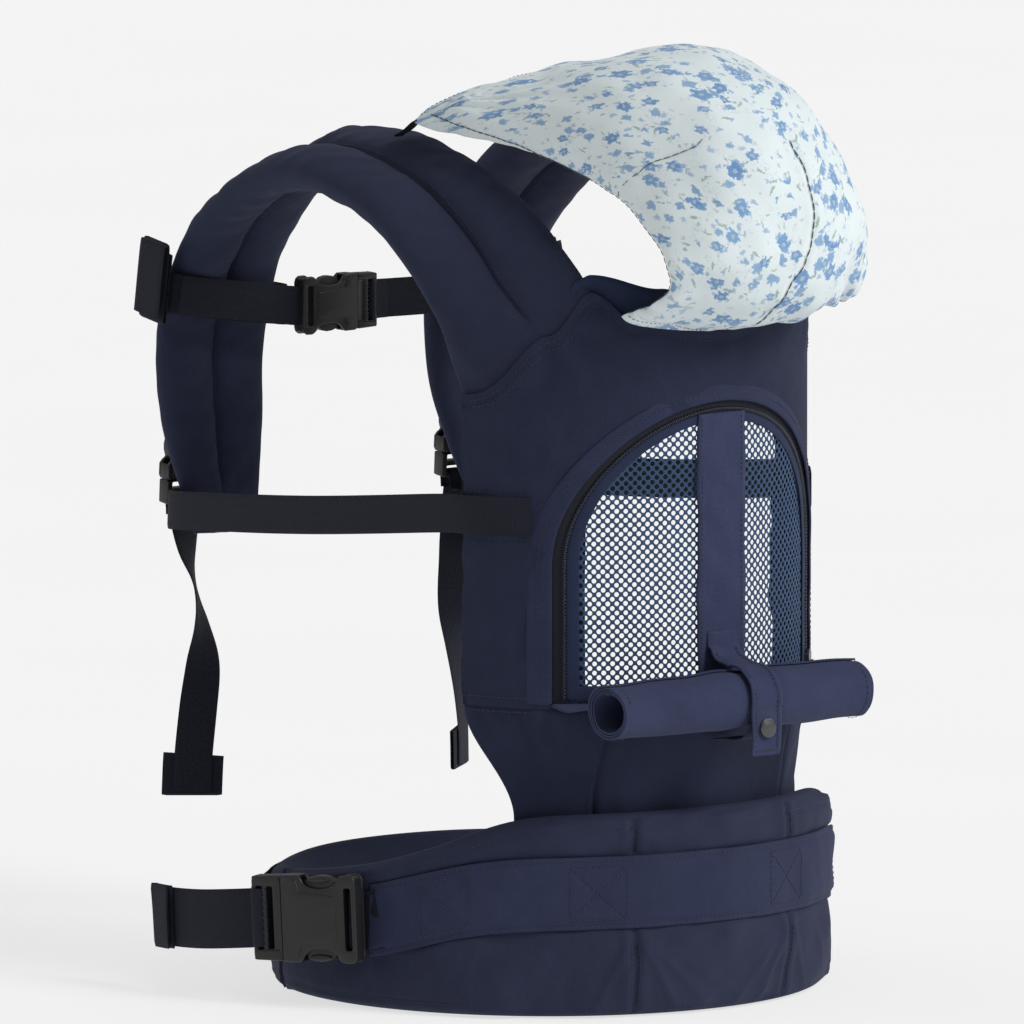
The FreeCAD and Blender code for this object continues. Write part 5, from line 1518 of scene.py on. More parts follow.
def build_side_webbing():
    plan = [(113.5, -126.0), (124.5, -110.5), (132.8, -91.0), (137.5, -62.0), (142.5, 0.0), (147.0, 70.0),
            (149.5, 135.0), (149.5, 178.0), (147.5, 203.0), (141.0, 216.0), (130.0, 221.5)]
    hz = [320, 320, 319.5, 318.5, 313, 306, 299.5, 295.5, 293.5, 292.5, 292]
    for sg, side in ((-1, "right"), (1, "left")):
        pts = catmull([(sg * x, y, h) for (x, y), h in zip(plan, hz)] + [(sg * 118.0, 224.0, 292.0), (sg * 104.0, 224.5, 292.2)], 8)
        path = resample(pts, step=2.4)[0]
        k = np.linspace(0, 1, len(path))
        path[:, 2] -= 2.0 * np.sin(pi * np.clip((k - 0.15) / 0.6, 0, 1))
        acr = np.stack([0.10 * np.sin(k * 4) * sg, 0 * k, 1 + 0 * k], -1)
        b = Bag()
        ribbon("w", path, acr, 25.0, 1.4, bag=b, cols=11)
        ob = b.object(side + "_side_webbing_strip", M_WEB)
        ob.data.set_sharp_from_angle(angle=RAD(50))
        put(ob, nodes=[side + "_side_webbing"])
        # loose tail with its twist and folded end
        fr = buckle_frame(side + "_side")
        drop = [(285.0, 0.0, 0.0, 238.0), (262.0, 25.0, -1.0, 236.0), (238.0, 52.0, -5.0, 233.0),
                (212.0, 30.0, -8.0, 230.0), (186.0, -10.0, -8.0, 229.0), (158.0, -30.0, -5.0, 230.0),
                (128.0, -38.0, -2.0, 231.0), (104.5, -38.0, -1.0, 231.5)]
        rows = [(sg * 112 + sg * dx, y, zz, t) for zz, t, dx, y in drop]
        q = catmull(rows, 10)
        q = resample(q, step=2.0)[0]
        an = -np.radians(q[:, 3]) * sg
        acr = np.stack([np.cos(an), np.sin(an), 0 * an], -1)
        b = Bag()
        ribbon("w", q[:, :3], acr, 24.6, 1.4, bag=b, cols=11)
        e = q[-13:, :3]
        n_ = np.stack([-np.sin(an[-13:]), np.cos(an[-13:]), 0 * an[-13:]], -1)
        f1 = e + n_ * 1.7
        f2 = e + n_ * 3.6
        fold = np.vstack([f1[::1], [f1[-1] + np.array([0, 0, -2.2])], [f2[-1] + np.array([0, 0, -1.4])], f2[::-1][1:]])
        fold = resample(fold, step=1.5)[0]
        af = np.tile([acr[-1]], (len(fold), 1))
        ribbon("w", fold, af, 39.0, 1.5, bag=b, cols=13)
        # up and over the plug's ladder bar
        q = [fr(-24.5, 0, 2.6), fr(-19.5, 0, 3.4), fr(-15.4, 0, 4.2), fr(-12.6, 0, 0.4), fr(-14.8, 0, -4.6), fr(-19.0, 0, -6.2), fr(-24.0, 0, -8.0), fr(-23.0, 0, -13.0)]
        path = resample(catmull(q, 5), step=1.4)[0]
        ribbon("w", path, np.tile([fr(0, 1, 0, True)], (len(path), 1)), 24.4, 1.4, bag=b, cols=11)
        ob = b.object(side + "_side_tail_strip", M_WEB)
        ob.data.set_sharp_from_angle(angle=RAD(50))
        put(ob, nodes=[side + "_side_tail"])
        tab = [(231.6, 353.4), (231.0, 362.0), (229.4, 372.0), (227.0, 384.0), (225.4, 392.0)]
        q = catmull([(sg * 112, y, zz) for y, zz in tab], 6)
        b = Bag()
        ribbon("w", q, np.tile([[1.0, 0, 0]], (len(q), 1)), 25.0, 1.5, bag=b, cols=11)
        q = [fr(38.4, 0, -1.6), fr(38.0, 0, 1.4), fr(40.8, 0, 3.4), fr(44.6, 0, 3.0), (np.array([sg * 112.0, 234.6, 358.0])), (np.array([sg * 112.0, 232.4, 366.0]))]
        path = resample(catmull(q, 5), step=1.4)[0]
        ribbon("w", path, np.tile([[1.0, 0, 0]], (len(path), 1)), 25.0, 1.4, bag=b, cols=11)
        ob = b.object(side + "_strap_tab_strip", M_WEB)
        ob.data.set_sharp_from_angle(angle=RAD(50))
        put(ob, nodes=[side + "_strap_buckle_tab"])


# =====================================================================
# buckles
# =====================================================================
BUCKLES = {
    "chest": ("25", (-17.0, 183.0, 421.0), (-1, 0, 0), (0, -1, 0)),
    "waist": ("40", (-206.2, 8.2, 56.7), (0.40, -0.9165, 0.05), (-0.9165, -0.40, 0)),
    "right_side": ("25", (-112.0, 236.0, 309.0), (0, -0.10, 1), (0, 1, 0.10)),
    "left_side": ("25", (112.0, 236.0, 309.0), (0, -0.10, 1), (0, 1, 0.10)),
}
BK = {"25": (37.0, 11.0, 44.0, 17.0, 26.4), "40": (56.0, 13.0, 54.0, 22.0, 40.0)}


def buckle_axes(name):
    _, at, along, out = BUCKLES[name]
    x = np.array(along, float) / np.linalg.norm(along)
    z = np.array(out, float) / np.linalg.norm(out)
    z = z - x * (x @ z)
    z /= np.linalg.norm(z)
    y = np.cross(z, x)
    return np.array(at, float), x, y, z


def buckle_frame(name):
    at, x, y, z = buckle_axes(name)

    def f(a, b, c, vec=False):
        v = x * a + y * b + z * c
        return v if vec else at + v
    return f


def rounded(points, radii, n=6):
    """Polygon with every corner rounded by its own radius."""
    p = np.asarray(points, float)
    out = []
    m = len(p)
    for i in range(m):
        a, b, c = p[i - 1], p[i], p[(i + 1) % m]
        r = radii[i] if hasattr(radii, "__len__") else radii
        d0, d1 = unit(a - b), unit(c - b)
        ang = math.acos(float(np.clip(d0 @ d1, -1, 1)))
        if r <= 0.01 or ang > pi - 0.05:
            out.append(b)
            continue
        t = min(r / math.tan(ang / 2), 0.48 * min(np.linalg.norm(a - b), np.linalg.norm(c - b)))
        q0, q1 = b + d0 * t, b + d1 * t
        for k in np.linspace(0, 1, n):
            out.append((1 - k) ** 2 * q0 + 2 * k * (1 - k) * b + k ** 2 * q1)
    return np.array(out)


def plate(rings, z0, z1, bevel=0.6):
    """Flat moulding with rounded edges from closed outlines; the first is outside, the rest are holes."""
    cu = bpy.data.curves.new("plate", "CURVE")
    cu.dimensions = "2D"
    cu.fill_mode = "BOTH"
    h = (z1 - z0) / 2.0
    bv = min(bevel, h * 0.95)
    cu.extrude = (h - bv) / 1000.0
    cu.bevel_depth = bv / 1000.0
    cu.bevel_resolution = 2
    cu.offset = -bv / 1000.0
    for r in rings:
        sp = cu.splines.new("POLY")
        sp.points.add(len(r) - 1)
        for pt, (x, y) in zip(sp.points, r):
            pt.co = (x / 1000.0, y / 1000.0, 0, 1)
        sp.use_cyclic_u = True
    ob = bpy.data.objects.new("plate", cu)
    bpy.context.scene.collection.objects.link(ob)
    dg = bpy.context.evaluated_depsgraph_get()
    me = bpy.data.meshes.new_from_object(ob.evaluated_get(dg))
    v = np.zeros(len(me.vertices) * 3)
    me.vertices.foreach_get("co", v)
    v = v.reshape(-1, 3) * 1000.0
    v[:, 2] += (z0 + z1) / 2.0
    f = [tuple(p.vertices) for p in me.polygons]
    bpy.data.objects.remove(ob)
    bpy.data.curves.remove(cu)
    bpy.data.meshes.remove(me)
    return v, f


def moulding(name, plates, fr):
    b = Bag()
    for v, f in plates:
        w = fr(0, 0, 0) + v[:, :1] * fr(1, 0, 0, True) + v[:, 1:2] * fr(0, 1, 0, True) + v[:, 2:] * fr(0, 0, 1, True)
        b.add(w, f)
    ob = b.object(name, M_BUCKLE, merge=0.01)
    ob.data.set_sharp_from_angle(angle=RAD(38))
    return ob


def mirror(pts):
    p = np.asarray(pts, float)
    q = p[::-1].copy()
    q[:, 1] *= -1
    return np.vstack([p, q])


def build_buckle(name):
    size = BUCKLES[name][0]
    w, th, L, lp, web = BK[size]
    at, ax, ay, az = buckle_axes(name)
    fr = buckle_frame(name)
    h = w / 2.0
    big = size == "40"
    nd = 8.6 if big else 6.2                       # notch depth
    t2 = th / 2.0
    # --- socket: plates with the smooth notches over the arms
    bar0, bar1 = L - 8.4, L - 3.4
    th_ = np.linspace(0, pi, 17)
    nx0, nx1 = 0.27 * L, 0.76 * L
    notch = np.stack([(nx0 + nx1) / 2 - (nx1 - nx0) / 2 * np.cos(th_), h - nd * np.sin(th_) ** 0.72], -1)
    top_half = [(0.0, h - 2.6), (0.4, h - 1.0), (2.2, h - 0.1), (nx0 - 2.2, h)]
    top_half += [tuple(q) for q in notch[1:-1]]
    top_half += [(nx1 + 2.0, h - 0.2), (L - 7.0, h + 0.3), (L - 3.0, h + 0.2), (L - 0.8, h - 1.4), (L, h - 4.0)]
    lip = [(0.0, 0.0)]
    outline = mirror(np.array(top_half)[::-1])
    slot = rounded([(bar0, -web / 2), (bar1, -web / 2), (bar1, web / 2), (bar0, web / 2)], 1.6)
    plates = []
    cutaway = rounded([(-0.2, -h * 0.36), (1.9, -h * 0.26), (1.9, h * 0.26), (-0.2, h * 0.36)], 0.4)
    plates.append(plate([outline, slot], t2 - 2.7, t2, 0.85))
    plates.append(plate([outline, slot], -t2, -t2 + 2.7, 0.85))
    # raised field on the outer plate, and a matching one on the inner plate
    fx0, fx1 = 0.10 * L, 0.72 * L
    fieldh = h - nd - 3.4
    field = mirror(np.array([(fx1, 0.1), (fx1 + 1.6, fieldh * 0.5), (fx1, fieldh * 0.92), (0.5 * L, fieldh), (nx0 - 1.0, fieldh + 1.0), (nx0 - 3.2, h - 3.0), (fx0, h - 3.4), (fx0 - 1.6, h * 0.5), (fx0 - 1.8, 0.1)]))
    plates.append(plate([rounded(field, 1.4, 3)], t2 - 0.6, t2 + 0.55, 0.5))
    plates.append(plate([rounded(field, 1.4, 3)], -t2 - 0.45, -t2 + 0.6, 0.45))
    # side rails in the mouth, core between the arm bays, and the bar frame at full thickness
    for sg in (-1, 1):
        rail = [(0.0, sg * (h - 0.3)), (nx0 - 1.4, sg * (h - 0.1)), (nx0 - 2.4, sg * (h - 2.3)), (0.0, sg * (h - 2.5))]
        plates.append(plate([rounded(rail, 0.6, 3)], -t2 + 1.6, t2 - 1.6, 0.3))
    core = [(nx1 - 1.0, -h + 1.2), (L - 0.6, -h + 0.6), (L - 0.6, h - 0.6), (nx1 - 1.0, h - 1.2)]
    plates.append(plate([rounded(core, 2.4, 4), slot], -t2 + 1.4, t2 - 1.4, 0.3))
    for sg in (-1, 1):
        rib = [(0.36 * L, sg * 2.6), (nx1, sg * 2.6), (nx1, sg * 4.2), (0.36 * L, sg * 4.2)]
        plates.append(plate([rounded(rib, 0.4, 3)], -t2 + 1.8, t2 - 1.8, 0.2))
    # rounded lip on the webbing bar
    barl = [(bar1 + 0.2, -web / 2 - 1.0), (L - 0.2, -web / 2 - 0.6), (L - 0.2, web / 2 + 0.6), (bar1 + 0.2, web / 2 + 1.0)]
    plates.append(plate([rounded(barl, 1.2, 4)], -t2 - 0.3, t2 + 0.3, 1.4))
    ob = moulding(name + "_buckle_socket_moulding", plates, fr)
    put(ob, nodes=[name + "_buckle_socket"])

    # --- plug: shoulder, ladder bars, guide
    hh = h - 0.5
    tp = t2 - 0.7
    outl = mirror(np.array([(-0.5, hh - 0.8), (-2.2, hh), (-5.0, hh - 0.2), (-lp * 0.55, hh - 1.0), (-lp + 3.2, hh - 0.2), (-lp + 0.8, hh - 1.2), (-lp, hh - 3.4)]))
    s1 = rounded([(-lp + 3.2, -web / 2), (-lp + 7.4, -web / 2), (-lp + 7.4, web / 2), (-lp + 3.2, web / 2)], 1.3)
    s2 = rounded([(-lp + 10.6, -web / 2), (-lp + 14.8, -web / 2), (-lp + 14.8, web / 2), (-lp + 10.6, web / 2)], 1.3)
    plates = [plate([outl, s1, s2], -tp + 1.0, tp - 1.0, 1.0)]
    shoulder = rounded([(-0.5, -hh), (-2.6, -hh), (-2.6, hh), (-0.5, hh)], 0.7, 3)
    if lp - 14.8 > 2.4:
        plates.append(plate([shoulder], -tp, tp, 0.6))
    for sg in (-1, 1):
        cheek = [(-0.6, sg * hh), (-lp + 0.8, sg * (hh - 0.6)), (-lp + 0.8, sg * (web / 2 + 0.6)), (-0.6, sg * (web / 2 + 0.6))]
        plates.append(plate([rounded(cheek, 1.2, 4)], -tp, tp, 0.9))
    # grip teeth on the middle bar
    for sg in np.linspace(-web / 2 + 2, web / 2 - 2, 9):
        tooth = [(-lp + 7.7, sg - 0.7), (-lp + 10.3, sg - 0.7), (-lp + 10.3, sg + 0.7), (-lp + 7.7, sg + 0.7)]
        plates.append(plate([rounded(tooth, 0.3, 3)], tp - 1.3, tp - 0.35, 0.3))
    guide = [(-1.0, -1.7), (0.6 * L, -1.5), (0.65 * L, -0.7), (0.65 * L, 0.7), (0.6 * L, 1.5), (-1.0, 1.7)]
    plates.append(plate([rounded(guide, 0.5, 3)], -1.9, 1.9, 0.4))
    ob = moulding(name + "_buckle_plug_moulding", plates, fr)
    put(ob, nodes=[name + "_buckle_plug"])

    # --- the two sprung arms
    for side, arm in ((1, "a"), (-1, "b")):
        s = side
        top = [(-0.2, h - 8.2), (0.16 * L, h - 7.4), (0.27 * L, h - 6.2), (0.315 * L, h - 3.4), (0.35 * L, h - 1.9), (0.43 * L, h - 0.75),
               (0.52 * L, h - 0.5), (0.61 * L, h - 1.3), (0.68 * L, h - 3.6), (0.712 * L, h - 6.6), (0.68 * L, h - 8.8), (0.60 * L, h - 9.6),
               (0.45 * L, h - 9.4), (0.25 * L, h - 9.6), (-0.2, h - 10.2)]
        pts = np.array([(px, py * s) for px, py in top])
        if s < 0:
            pts = pts[::-1]
        plates = [plate([rounded(pts, 1.2, 3)], -t2 + 2.9, t2 - 2.9, 0.55)]
        pad = [(0.335 * L, h - 2.4), (0.36 * L, h - 1.5), (0.44 * L, h - 0.7), (0.52 * L, h - 0.5), (0.60 * L, h - 1.3), (0.655 * L, h - 3.2),
               (0.60 * L, h - 4.5), (0.48 * L, h - 5.2), (0.37 * L, h - 4.6)]
        pp = np.array([(px, py * s) for px, py in pad])
        if s < 0:
            pp = pp[::-1]
        if big:
            plates.append(plate([rounded(pp, 1.6, 3)], -t2 + 1.2, t2 - 1.2, 1.4))
        ob = moulding(name + "_buckle_arm_%s_moulding" % arm, plates, fr)
        node = name + "_buckle_arm_" + arm
        put(ob, body=BODY_OF[node], nodes=[node])


# =====================================================================
# shoulder straps
# =====================================================================
STRAP = [
    ((106.5, -113.0, 433.0), (-0.48, -0.55, 0.68), 96, 15), ((109.5, -92.0, 462.0), (-0.62, -0.50, 0.60), 92, 21),
    ((111.0, -62.0, 489.0), (-0.80, -0.38, 0.46), 88, 25), ((111.5, -22.0, 512.0), (-0.93, -0.20, 0.32), 86, 26),
    ((111.0, 25.0, 527.0), (-0.96, -0.06, 0.27), 86, 26), ((110.0, 75.0, 531.0), (-0.97, 0.0, 0.24), 86, 26),
    ((109.5, 122.0, 519.0), (-0.98, 0.05, 0.18), 86, 26), ((109.0, 163.0, 493.0), (-0.99, 0.05, 0.10), 86, 26),
    ((108.5, 193.0, 460.0), (-1.0, 0.04, 0.04), 85, 26), ((108.5, 210.0, 423.0), (-1.0, 0.0, 0.0), 84, 25),
    ((109.0, 215.0, 387.0), (-1.0, 0.0, 0.0), 83, 24), ((110.0, 212.0, 352.0), (-1.0, 0.0, 0.0), 78, 22),
    ((111.5, 204.0, 320.0), (-1.0, 0.0, 0.0), 68, 18), ((113.0, 196.0, 292.0), (-1.0, 0.0, 0.0), 56, 12),
    ((113.5, 192.0, 278.0), (-1.0, 0.0, 0.0), 50, 9),
]


def strap_surface(sg):
    """Rows along the strap: centre, across, normal, width, thickness, distance."""
    rows = np.array([[*c, *a, w, t] for c, a, w, t in STRAP], float)
    q = catmull(rows, 14)
    q[:, 0] *= sg
    q[:, 3] *= sg
    q, dist = resample(q, step=2.1)
    c = q[:, :3]
    tan = unit(np.gradient(c, axis=0))
    a = unit(q[:, 3:6])
    a = unit(a - tan * (a * tan).sum(1)[:, None])
    n = np.cross(tan, a)
    ref = c - np.array([sg * 110.0, 60.0, 380.0])
    n *= np.where((n * ref).sum(1) < 0, -1.0, 1.0)[:, None]
    return c, a, n, q[:, 6], q[:, 7], dist


def build_strap(sg, side):
    c, a, n, w, t, dist = strap_surface(sg)
    L = dist[-1]
    nr = len(c)
    K = 47
    # x across, dense at the edges and at the divider
    base = np.linspace(-1, 1, K)
    xs = base + 0.055 * np.sin(2 * pi * base) * -1
    xs = np.clip(np.sign(xs) * (1 - (1 - np.abs(xs)) ** 1.25), -1, 1)
    fill = smooth01(dist / 24.0) * (0.30 + 0.70 * smooth01((L - dist + 6) / 70.0))
    fill = 0.20 + 0.80 * fill
    w1, w2 = Wob(91 + (sg > 0), 62.0), Wob(95 + (sg > 0), 24.0)
    x_ = xs[None, :]
    ax = np.abs(x_)
    lobe = np.sqrt(np.clip(1 - np.abs((ax - 0.5) / 0.5) ** 2.3, 0, 1))
    g = 0.24 * np.exp(-(x_ / 0.11) ** 2)
    rootfade = smooth01(dist / 18.0)[:, None]
    endfade = smooth01((L - dist) / 46.0)[:, None]
    two = rootfade * endfade
    one = np.sqrt(np.clip(1 - ax ** 3.2, 0, 1)) + 0 * two
    prof = np.sqrt(lobe ** 2 + g ** 2) * two + one * (1 - two)
    # gathers where the padding is pulled into the root and lower seams
    gx = x_ * (w[:, None] / 2)
    gat = np.sin(gx / 2.1 + 1.3 * np.sin(gx / 9.0 + sg)) + 0.55 * np.sin(gx / 1.25 + 0.7)
    root_g = np.exp(-(dist / 17.0))[:, None] * smooth01(dist / 3.0)[:, None]
    end_g = np.exp(-((L - dist) / 24.0))[:, None]
    # short puckers on both sides of the divider
    pk = np.sin(dist[:, None] / 3.3 + 1.5 * np.sin(dist[:, None] / 17.0)) + 0.5 * np.sin(dist[:, None] / 1.9)
    pk = pk * np.exp(-((ax - 0.13) / 0.085) ** 2)
    bend = np.gradient(np.gradient(c, axis=0), axis=0)
    verts, uvs = [], []
    for face in (1, -1):
        order = slice(None) if face > 0 else slice(None, None, -1)
        P3 = np.stack([gx + 0 * dist[:, None], dist[:, None] + 0 * gx, np.full(gx.shape, face * 20.0)], -1)
        hgt = (t[:, None] / 2) * fill[:, None] * prof
        d = hgt + (0.85 * w1(P3) + 0.32 * w2(P3)) * np.minimum(1, prof * 1.1) * smooth01(dist / 20.0)[:, None]
        d += 0.55 * gat * root_g * prof + 0.45 * gat * end_g * prof + 0.33 * pk * two
        # compression wrinkles on the inside of the bend over the shoulder
        if face < 0:
            d += 0.8 * np.sin(dist[:, None] / 6.0 + gx / 13.0) * np.exp(-((dist[:, None] - 190) / 120.0) ** 2) * prof
        # webbing loop presses in a little
        d -= 1.0 * np.exp(-((c[:, 2] - 421.0) / 15.0) ** 4)[:, None] * (c[:, 1] > 150)[:, None] * prof
        d = np.maximum(d, 0.35)
        P = c[:, None, :] + a[:, None, :] * (x_ * (w[:, None] / 2))[..., None] + n[:, None, :] * (face * d)[..., None]
        # the root follows the panel's slanting edge
        X = 107.5 - 23.8 * x_
        E = panel(s_of_x(sg * X), panel_top(X), 0.0)
        En = unit(panel_n(s_of_x(sg * X), panel_top(X)))
        hb = np.minimum(d, 1.2 + 0.30 * dist[:, None])
        # direction inward from the edge, down along the panel
        flat = E + En * (-0.1) + (c - c[0])[:, None, :] + n[:, None, :] * (face * hb)[..., None]
        kb = (1 - smooth01(dist / 46.0))[:, None, None]
        P = P * (1 - kb) + flat * kb
        verts.append(P[:, order])
        uv = np.stack([gx + 0 * dist[:, None], dist[:, None] + 0 * gx], -1)
        uvs.append(uv[:, order])
    V_ = np.concatenate([verts[0], verts[1][:, 1:-1]], 1)
    U_ = np.concatenate([uvs[0], uvs[1][:, 1:-1]], 1)
    # the first rows are tucked under the panel's edge
    tuck = []
    for k in (9.0, 4.5):
        X = 107.5 - 23.8 * xs
        nrm = unit(panel_n(s_of_x(sg * X), panel_top(X)))
        lower = panel(s_of_x(sg * (X - k * 0.62)), panel_top(X) - k * 0.86, 0.0)
        top_ = lower + nrm * 0.05
        bot = lower - nrm * 0.6
        row = np.concatenate([top_, bot[::-1][1:-1]], 0)
        tuck.append(row)
    V_ = np.concatenate([np.array(tuck), V_], 0)
    U_ = np.concatenate([U_[:1] - [0, 9.0], U_[:1] - [0, 4.5], U_], 0)
    m = V_.shape[1]
    nr = V_.shape[0]
    b = Bag().add(V_.reshape(-1, 3), grid_faces(nr, m, wrap_c=True, flip=sg < 0), U_.reshape(-1, 2) / 1000.0)
    b.f += [tuple(range(m)), tuple((nr - 1) * m + k for k in range(m))[::-1]]
    b.m += [0, 0]
    ob = b.object(side + "_strap_padded", M_CANVAS2)
    bake_mods(ob)
    put(ob, nodes=[side + "_strap_cover", side + "_strap_inner_foam", side + "_strap_outer_foam", side + "_strap_yoke"])
    # stitching in the divider, and two rows near the strap's lower end
    st = Bag()
    keepr = (dist > 20) & (dist < L - 40)
    mid = K // 2
    for face, idx in ((1, 0), (-1, 1)):
        for off in (-2, 2):
            P = verts[idx][:, mid + off]
            stitches(st, P[keepr], n[keepr] * face, lift=0.05)
    for dd in (L - 9.0, L - 14.0):
        r = int(np.argmin(np.abs(dist - dd)))
        stitches(st, verts[0][r, 3:-3], np.tile(n[r], (K - 6, 1)), lift=0.1)
    put(st.object(side + "_strap_stitching", M_THREAD))
    return ob


# =====================================================================
# hood
# =====================================================================
HOOD = [
    ((-180.6, 437.5), 84, (-158.5, 458.0)), ((-214, 446), 108, (-168, 461)), ((-238, 470), 116, (-166, 476)),
    ((-246, 510), 115, (-150, 496)), ((-234, 556), 104, (-120, 520)), ((-203, 592), 94, (-84, 538)),
    ((-150, 611), 91, (-44, 549)), ((-82, 604), 94, (-12, 555.5)), ((-14, 585), 99, (12, 559)),
]

# the hood sags towards the wearer's left, so its right hem is drawn in and forward
HOOD_RIGHT = [(73.0, (-167.5, 449.5)), (67.0, (-202.0, 465.0)), (70.0, (-211.0, 488.0)),
              (73.0, (-198.0, 505.0)), (78.0, (-165.0, 528.0)), (87.0, (-97.0, 547.0)),
              (94.0, (-49.5, 553.0)), (99.5, (-11.0, 556.0)), (100.0, (12.0, 559.0))]
# one crown seam on the left half, and a short dart by the right hem: distance round, distance up
CROWN = [(34.0, 0.0), (40.0, 2.0), (66.0, 6.0), (84.0, 16.0), (98.0, 22.0), (120.0, 24.5), (144.0, 20.5), (166.0, 16.0)]
DART = np.array([(-121.0, 118.0), (-116.0, 128.0), (-94.0, 144.0), (-64.0, 158.0), (-46.0, 164.0)])


def hood_surface(nq=171, step=12):
    rows = np.array([[*c, w, *e, wr, *er] for (c, w, e), (wr, er) in zip(HOOD, HOOD_RIGHT)], float)
    r = catmull(rows, step)
    q = np.linspace(-1, 1, nq)
    Q = q[None, :]
    k = smooth01((Q + 0.75) / 1.5)
    X = (r[:, 5:6] * (1 - k) + r[:, 2:3] * k) * np.sin(Q * pi / 2)
    g = 1 - np.cos(Q * pi / 2)
    Y = r[:, 0:1] * (1 - g) + (r[:, 6:7] * (1 - k) + r[:, 3:4] * k) * g
    Z = r[:, 1:2] * (1 - g) + (r[:, 7:8] * (1 - k) + r[:, 4:5] * k) * g
    return np.stack([X, Y, Z], -1), Q + 0 * Y, np.linspace(0, 1, len(r))[:, None] + 0 * Y


def grid_normals(G):
    du = np.gradient(G, axis=0)
    dv = np.gradient(G, axis=1)
    n = np.cross(du, dv)
    return unit(n)


def build_hood():
    G, Q, V_ = hood_surface()
    N = grid_normals(G)
    ctr = np.array([0, -120.0, 500.0])
    N *= np.sign(((G - ctr) * N).sum(-1, keepdims=True))
    nr, nc = G.shape[:2]
    du = np.linalg.norm(np.diff(G, axis=1), axis=-1)
    dv = np.linalg.norm(np.diff(G, axis=0), axis=-1)
    U = np.zeros((nr, nc))
    U[:, 1:] = np.cumsum(du, 1)
    U -= U[:, nc // 2:nc // 2 + 1]
    Vd = np.zeros((nr, nc))
    Vd[1:] = np.cumsum(dv, 0)
    edge = du.sum(1)[:, None] / 2 - np.abs(U)           # distance from the side hems
    low = Vd                                            # distance from the neck seam
    tip = Vd[-1:] - Vd                                  # distance from the free front edge
    w1, w2 = Wob(101, 85.0), Wob(103, 34.0)
    d = 1.5 * w1(G) + 0.5 * w2(G)
    # gathered neck seam: soft pleats that run up and fade out
    ph = U / 6.4 + 1.6 * np.sin(U / 23.0)
    pleat = np.sin(ph) + 0.6 * np.sin(ph * 1.73 + 1.0)
    d += 1.5 * pleat * np.exp(-(low / 26.0)) * smooth01(low / 5.0) * (0.5 + 0.5 * np.abs(Q))
    # side hems: small puckers, and drag lines to the ties
    ph2 = Vd / 5.0 + 1.4 * np.sin(Vd / 19.0)
    d += (0.8 * np.sin(ph2) + 0.4 * np.sin(ph2 * 1.9)) * np.exp(-(edge / 13.0))
    for sg in (-1, 1):
        u0, v0 = sg * du.sum(1)[-1] / 2, Vd[-1, 0]
        r = np.hypot(U - u0, Vd - v0)
        an = np.arctan2((v0 - Vd), (u0 - U) * sg)
        d += 1.5 * np.sin(an * 13.0) * np.exp(-(r / 70.0)) * smooth01(r / 10.0)
        u1, v1 = sg * du.sum(1)[4] / 2, Vd[4, 0]
        r = np.hypot(U - u1, Vd - v1)
        an = np.arctan2((Vd - v1), (u1 - U) * sg)
        d += 2.0 * np.sin(an * 9.0 + 0.4) * np.exp(-((r - 26) / 30.0) ** 2)
    # the crown seam, with short puckers beside it
    q = U - lerp(CROWN, Vd)
    on = smooth01((Vd - 26) / 10.0) * smooth01((172 - Vd) / 12.0)
    d += -1.5 * np.exp(-(q / 1.3) ** 2) * on
    d += 0.8 * np.exp(-((np.abs(q) - 5.0) / 3.2) ** 2) * on
    d += 0.45 * np.sin(Vd / 4.2) * np.exp(-((np.abs(q) - 4) / 3.6) ** 2) * on
    # the dart
    dd = np.full(U.shape, 1e9)
    tt = np.zeros(U.shape)
    for i in range(len(DART) - 1):
        p0, p1 = DART[i], DART[i + 1]
        e = p1 - p0
        t_ = np.clip(((U - p0[0]) * e[0] + (Vd - p0[1]) * e[1]) / (e @ e), 0, 1)
        di = np.hypot(U - p0[0] - e[0] * t_, Vd - p0[1] - e[1] * t_)
        tt = np.where(di < dd, (i + t_) / (len(DART) - 1), tt)
        dd = np.minimum(dd, di)
    d += -1.6 * np.exp(-(dd / 1.8) ** 2) * np.sin(pi * np.clip(tt, 0.02, 1)) + 1.0 * np.exp(-((dd - 7) / 5.0) ** 2) * np.sin(pi * tt)
    # sag between the high ridge and the neck
    d += -3.0 * np.exp(-((Vd - 60) / 22.0) ** 2) * np.exp(-((np.abs(Q) - 0.55) / 0.22) ** 2)
    # hem band: a folded edge stands a little proud
    d += 0.35 * smooth01((9.0 - edge) / 1.5) - 0.5 * np.exp(-((edge - 9.8) / 1.0) ** 2)
    d += 0.35 * smooth01((9.0 - tip) / 1.5) - 0.5 * np.exp(-((tip - 9.8) / 1.0) ** 2)
    keep = smooth01((low + 1.0) / 6.0)
    P = G + N * (d * keep)[..., None]
    UVm = np.stack([U, Vd], -1) / 1000.0
    b = Bag().add(P.reshape(-1, 3), grid_faces(nr, nc), UVm.reshape(-1, 2))
    ob = b.object("hood_cotton", M_HOOD)
    solidify(ob, 0.9, 0.0)
    subsurf(ob, 1)
    bake_mods(ob)
    st = Bag()
    Pn = grid_normals(P)
    Pn *= np.sign((Pn * N).sum(-1, keepdims=True))

    def at_u(i, u0, lift):
        p_ = np.array([np.interp(u0, U[i], P[i, :, k]) for k in range(3)])
        n_ = unit(np.array([np.interp(u0, U[i], Pn[i, :, k]) for k in range(3)]))
        return p_ + n_ * lift, n_

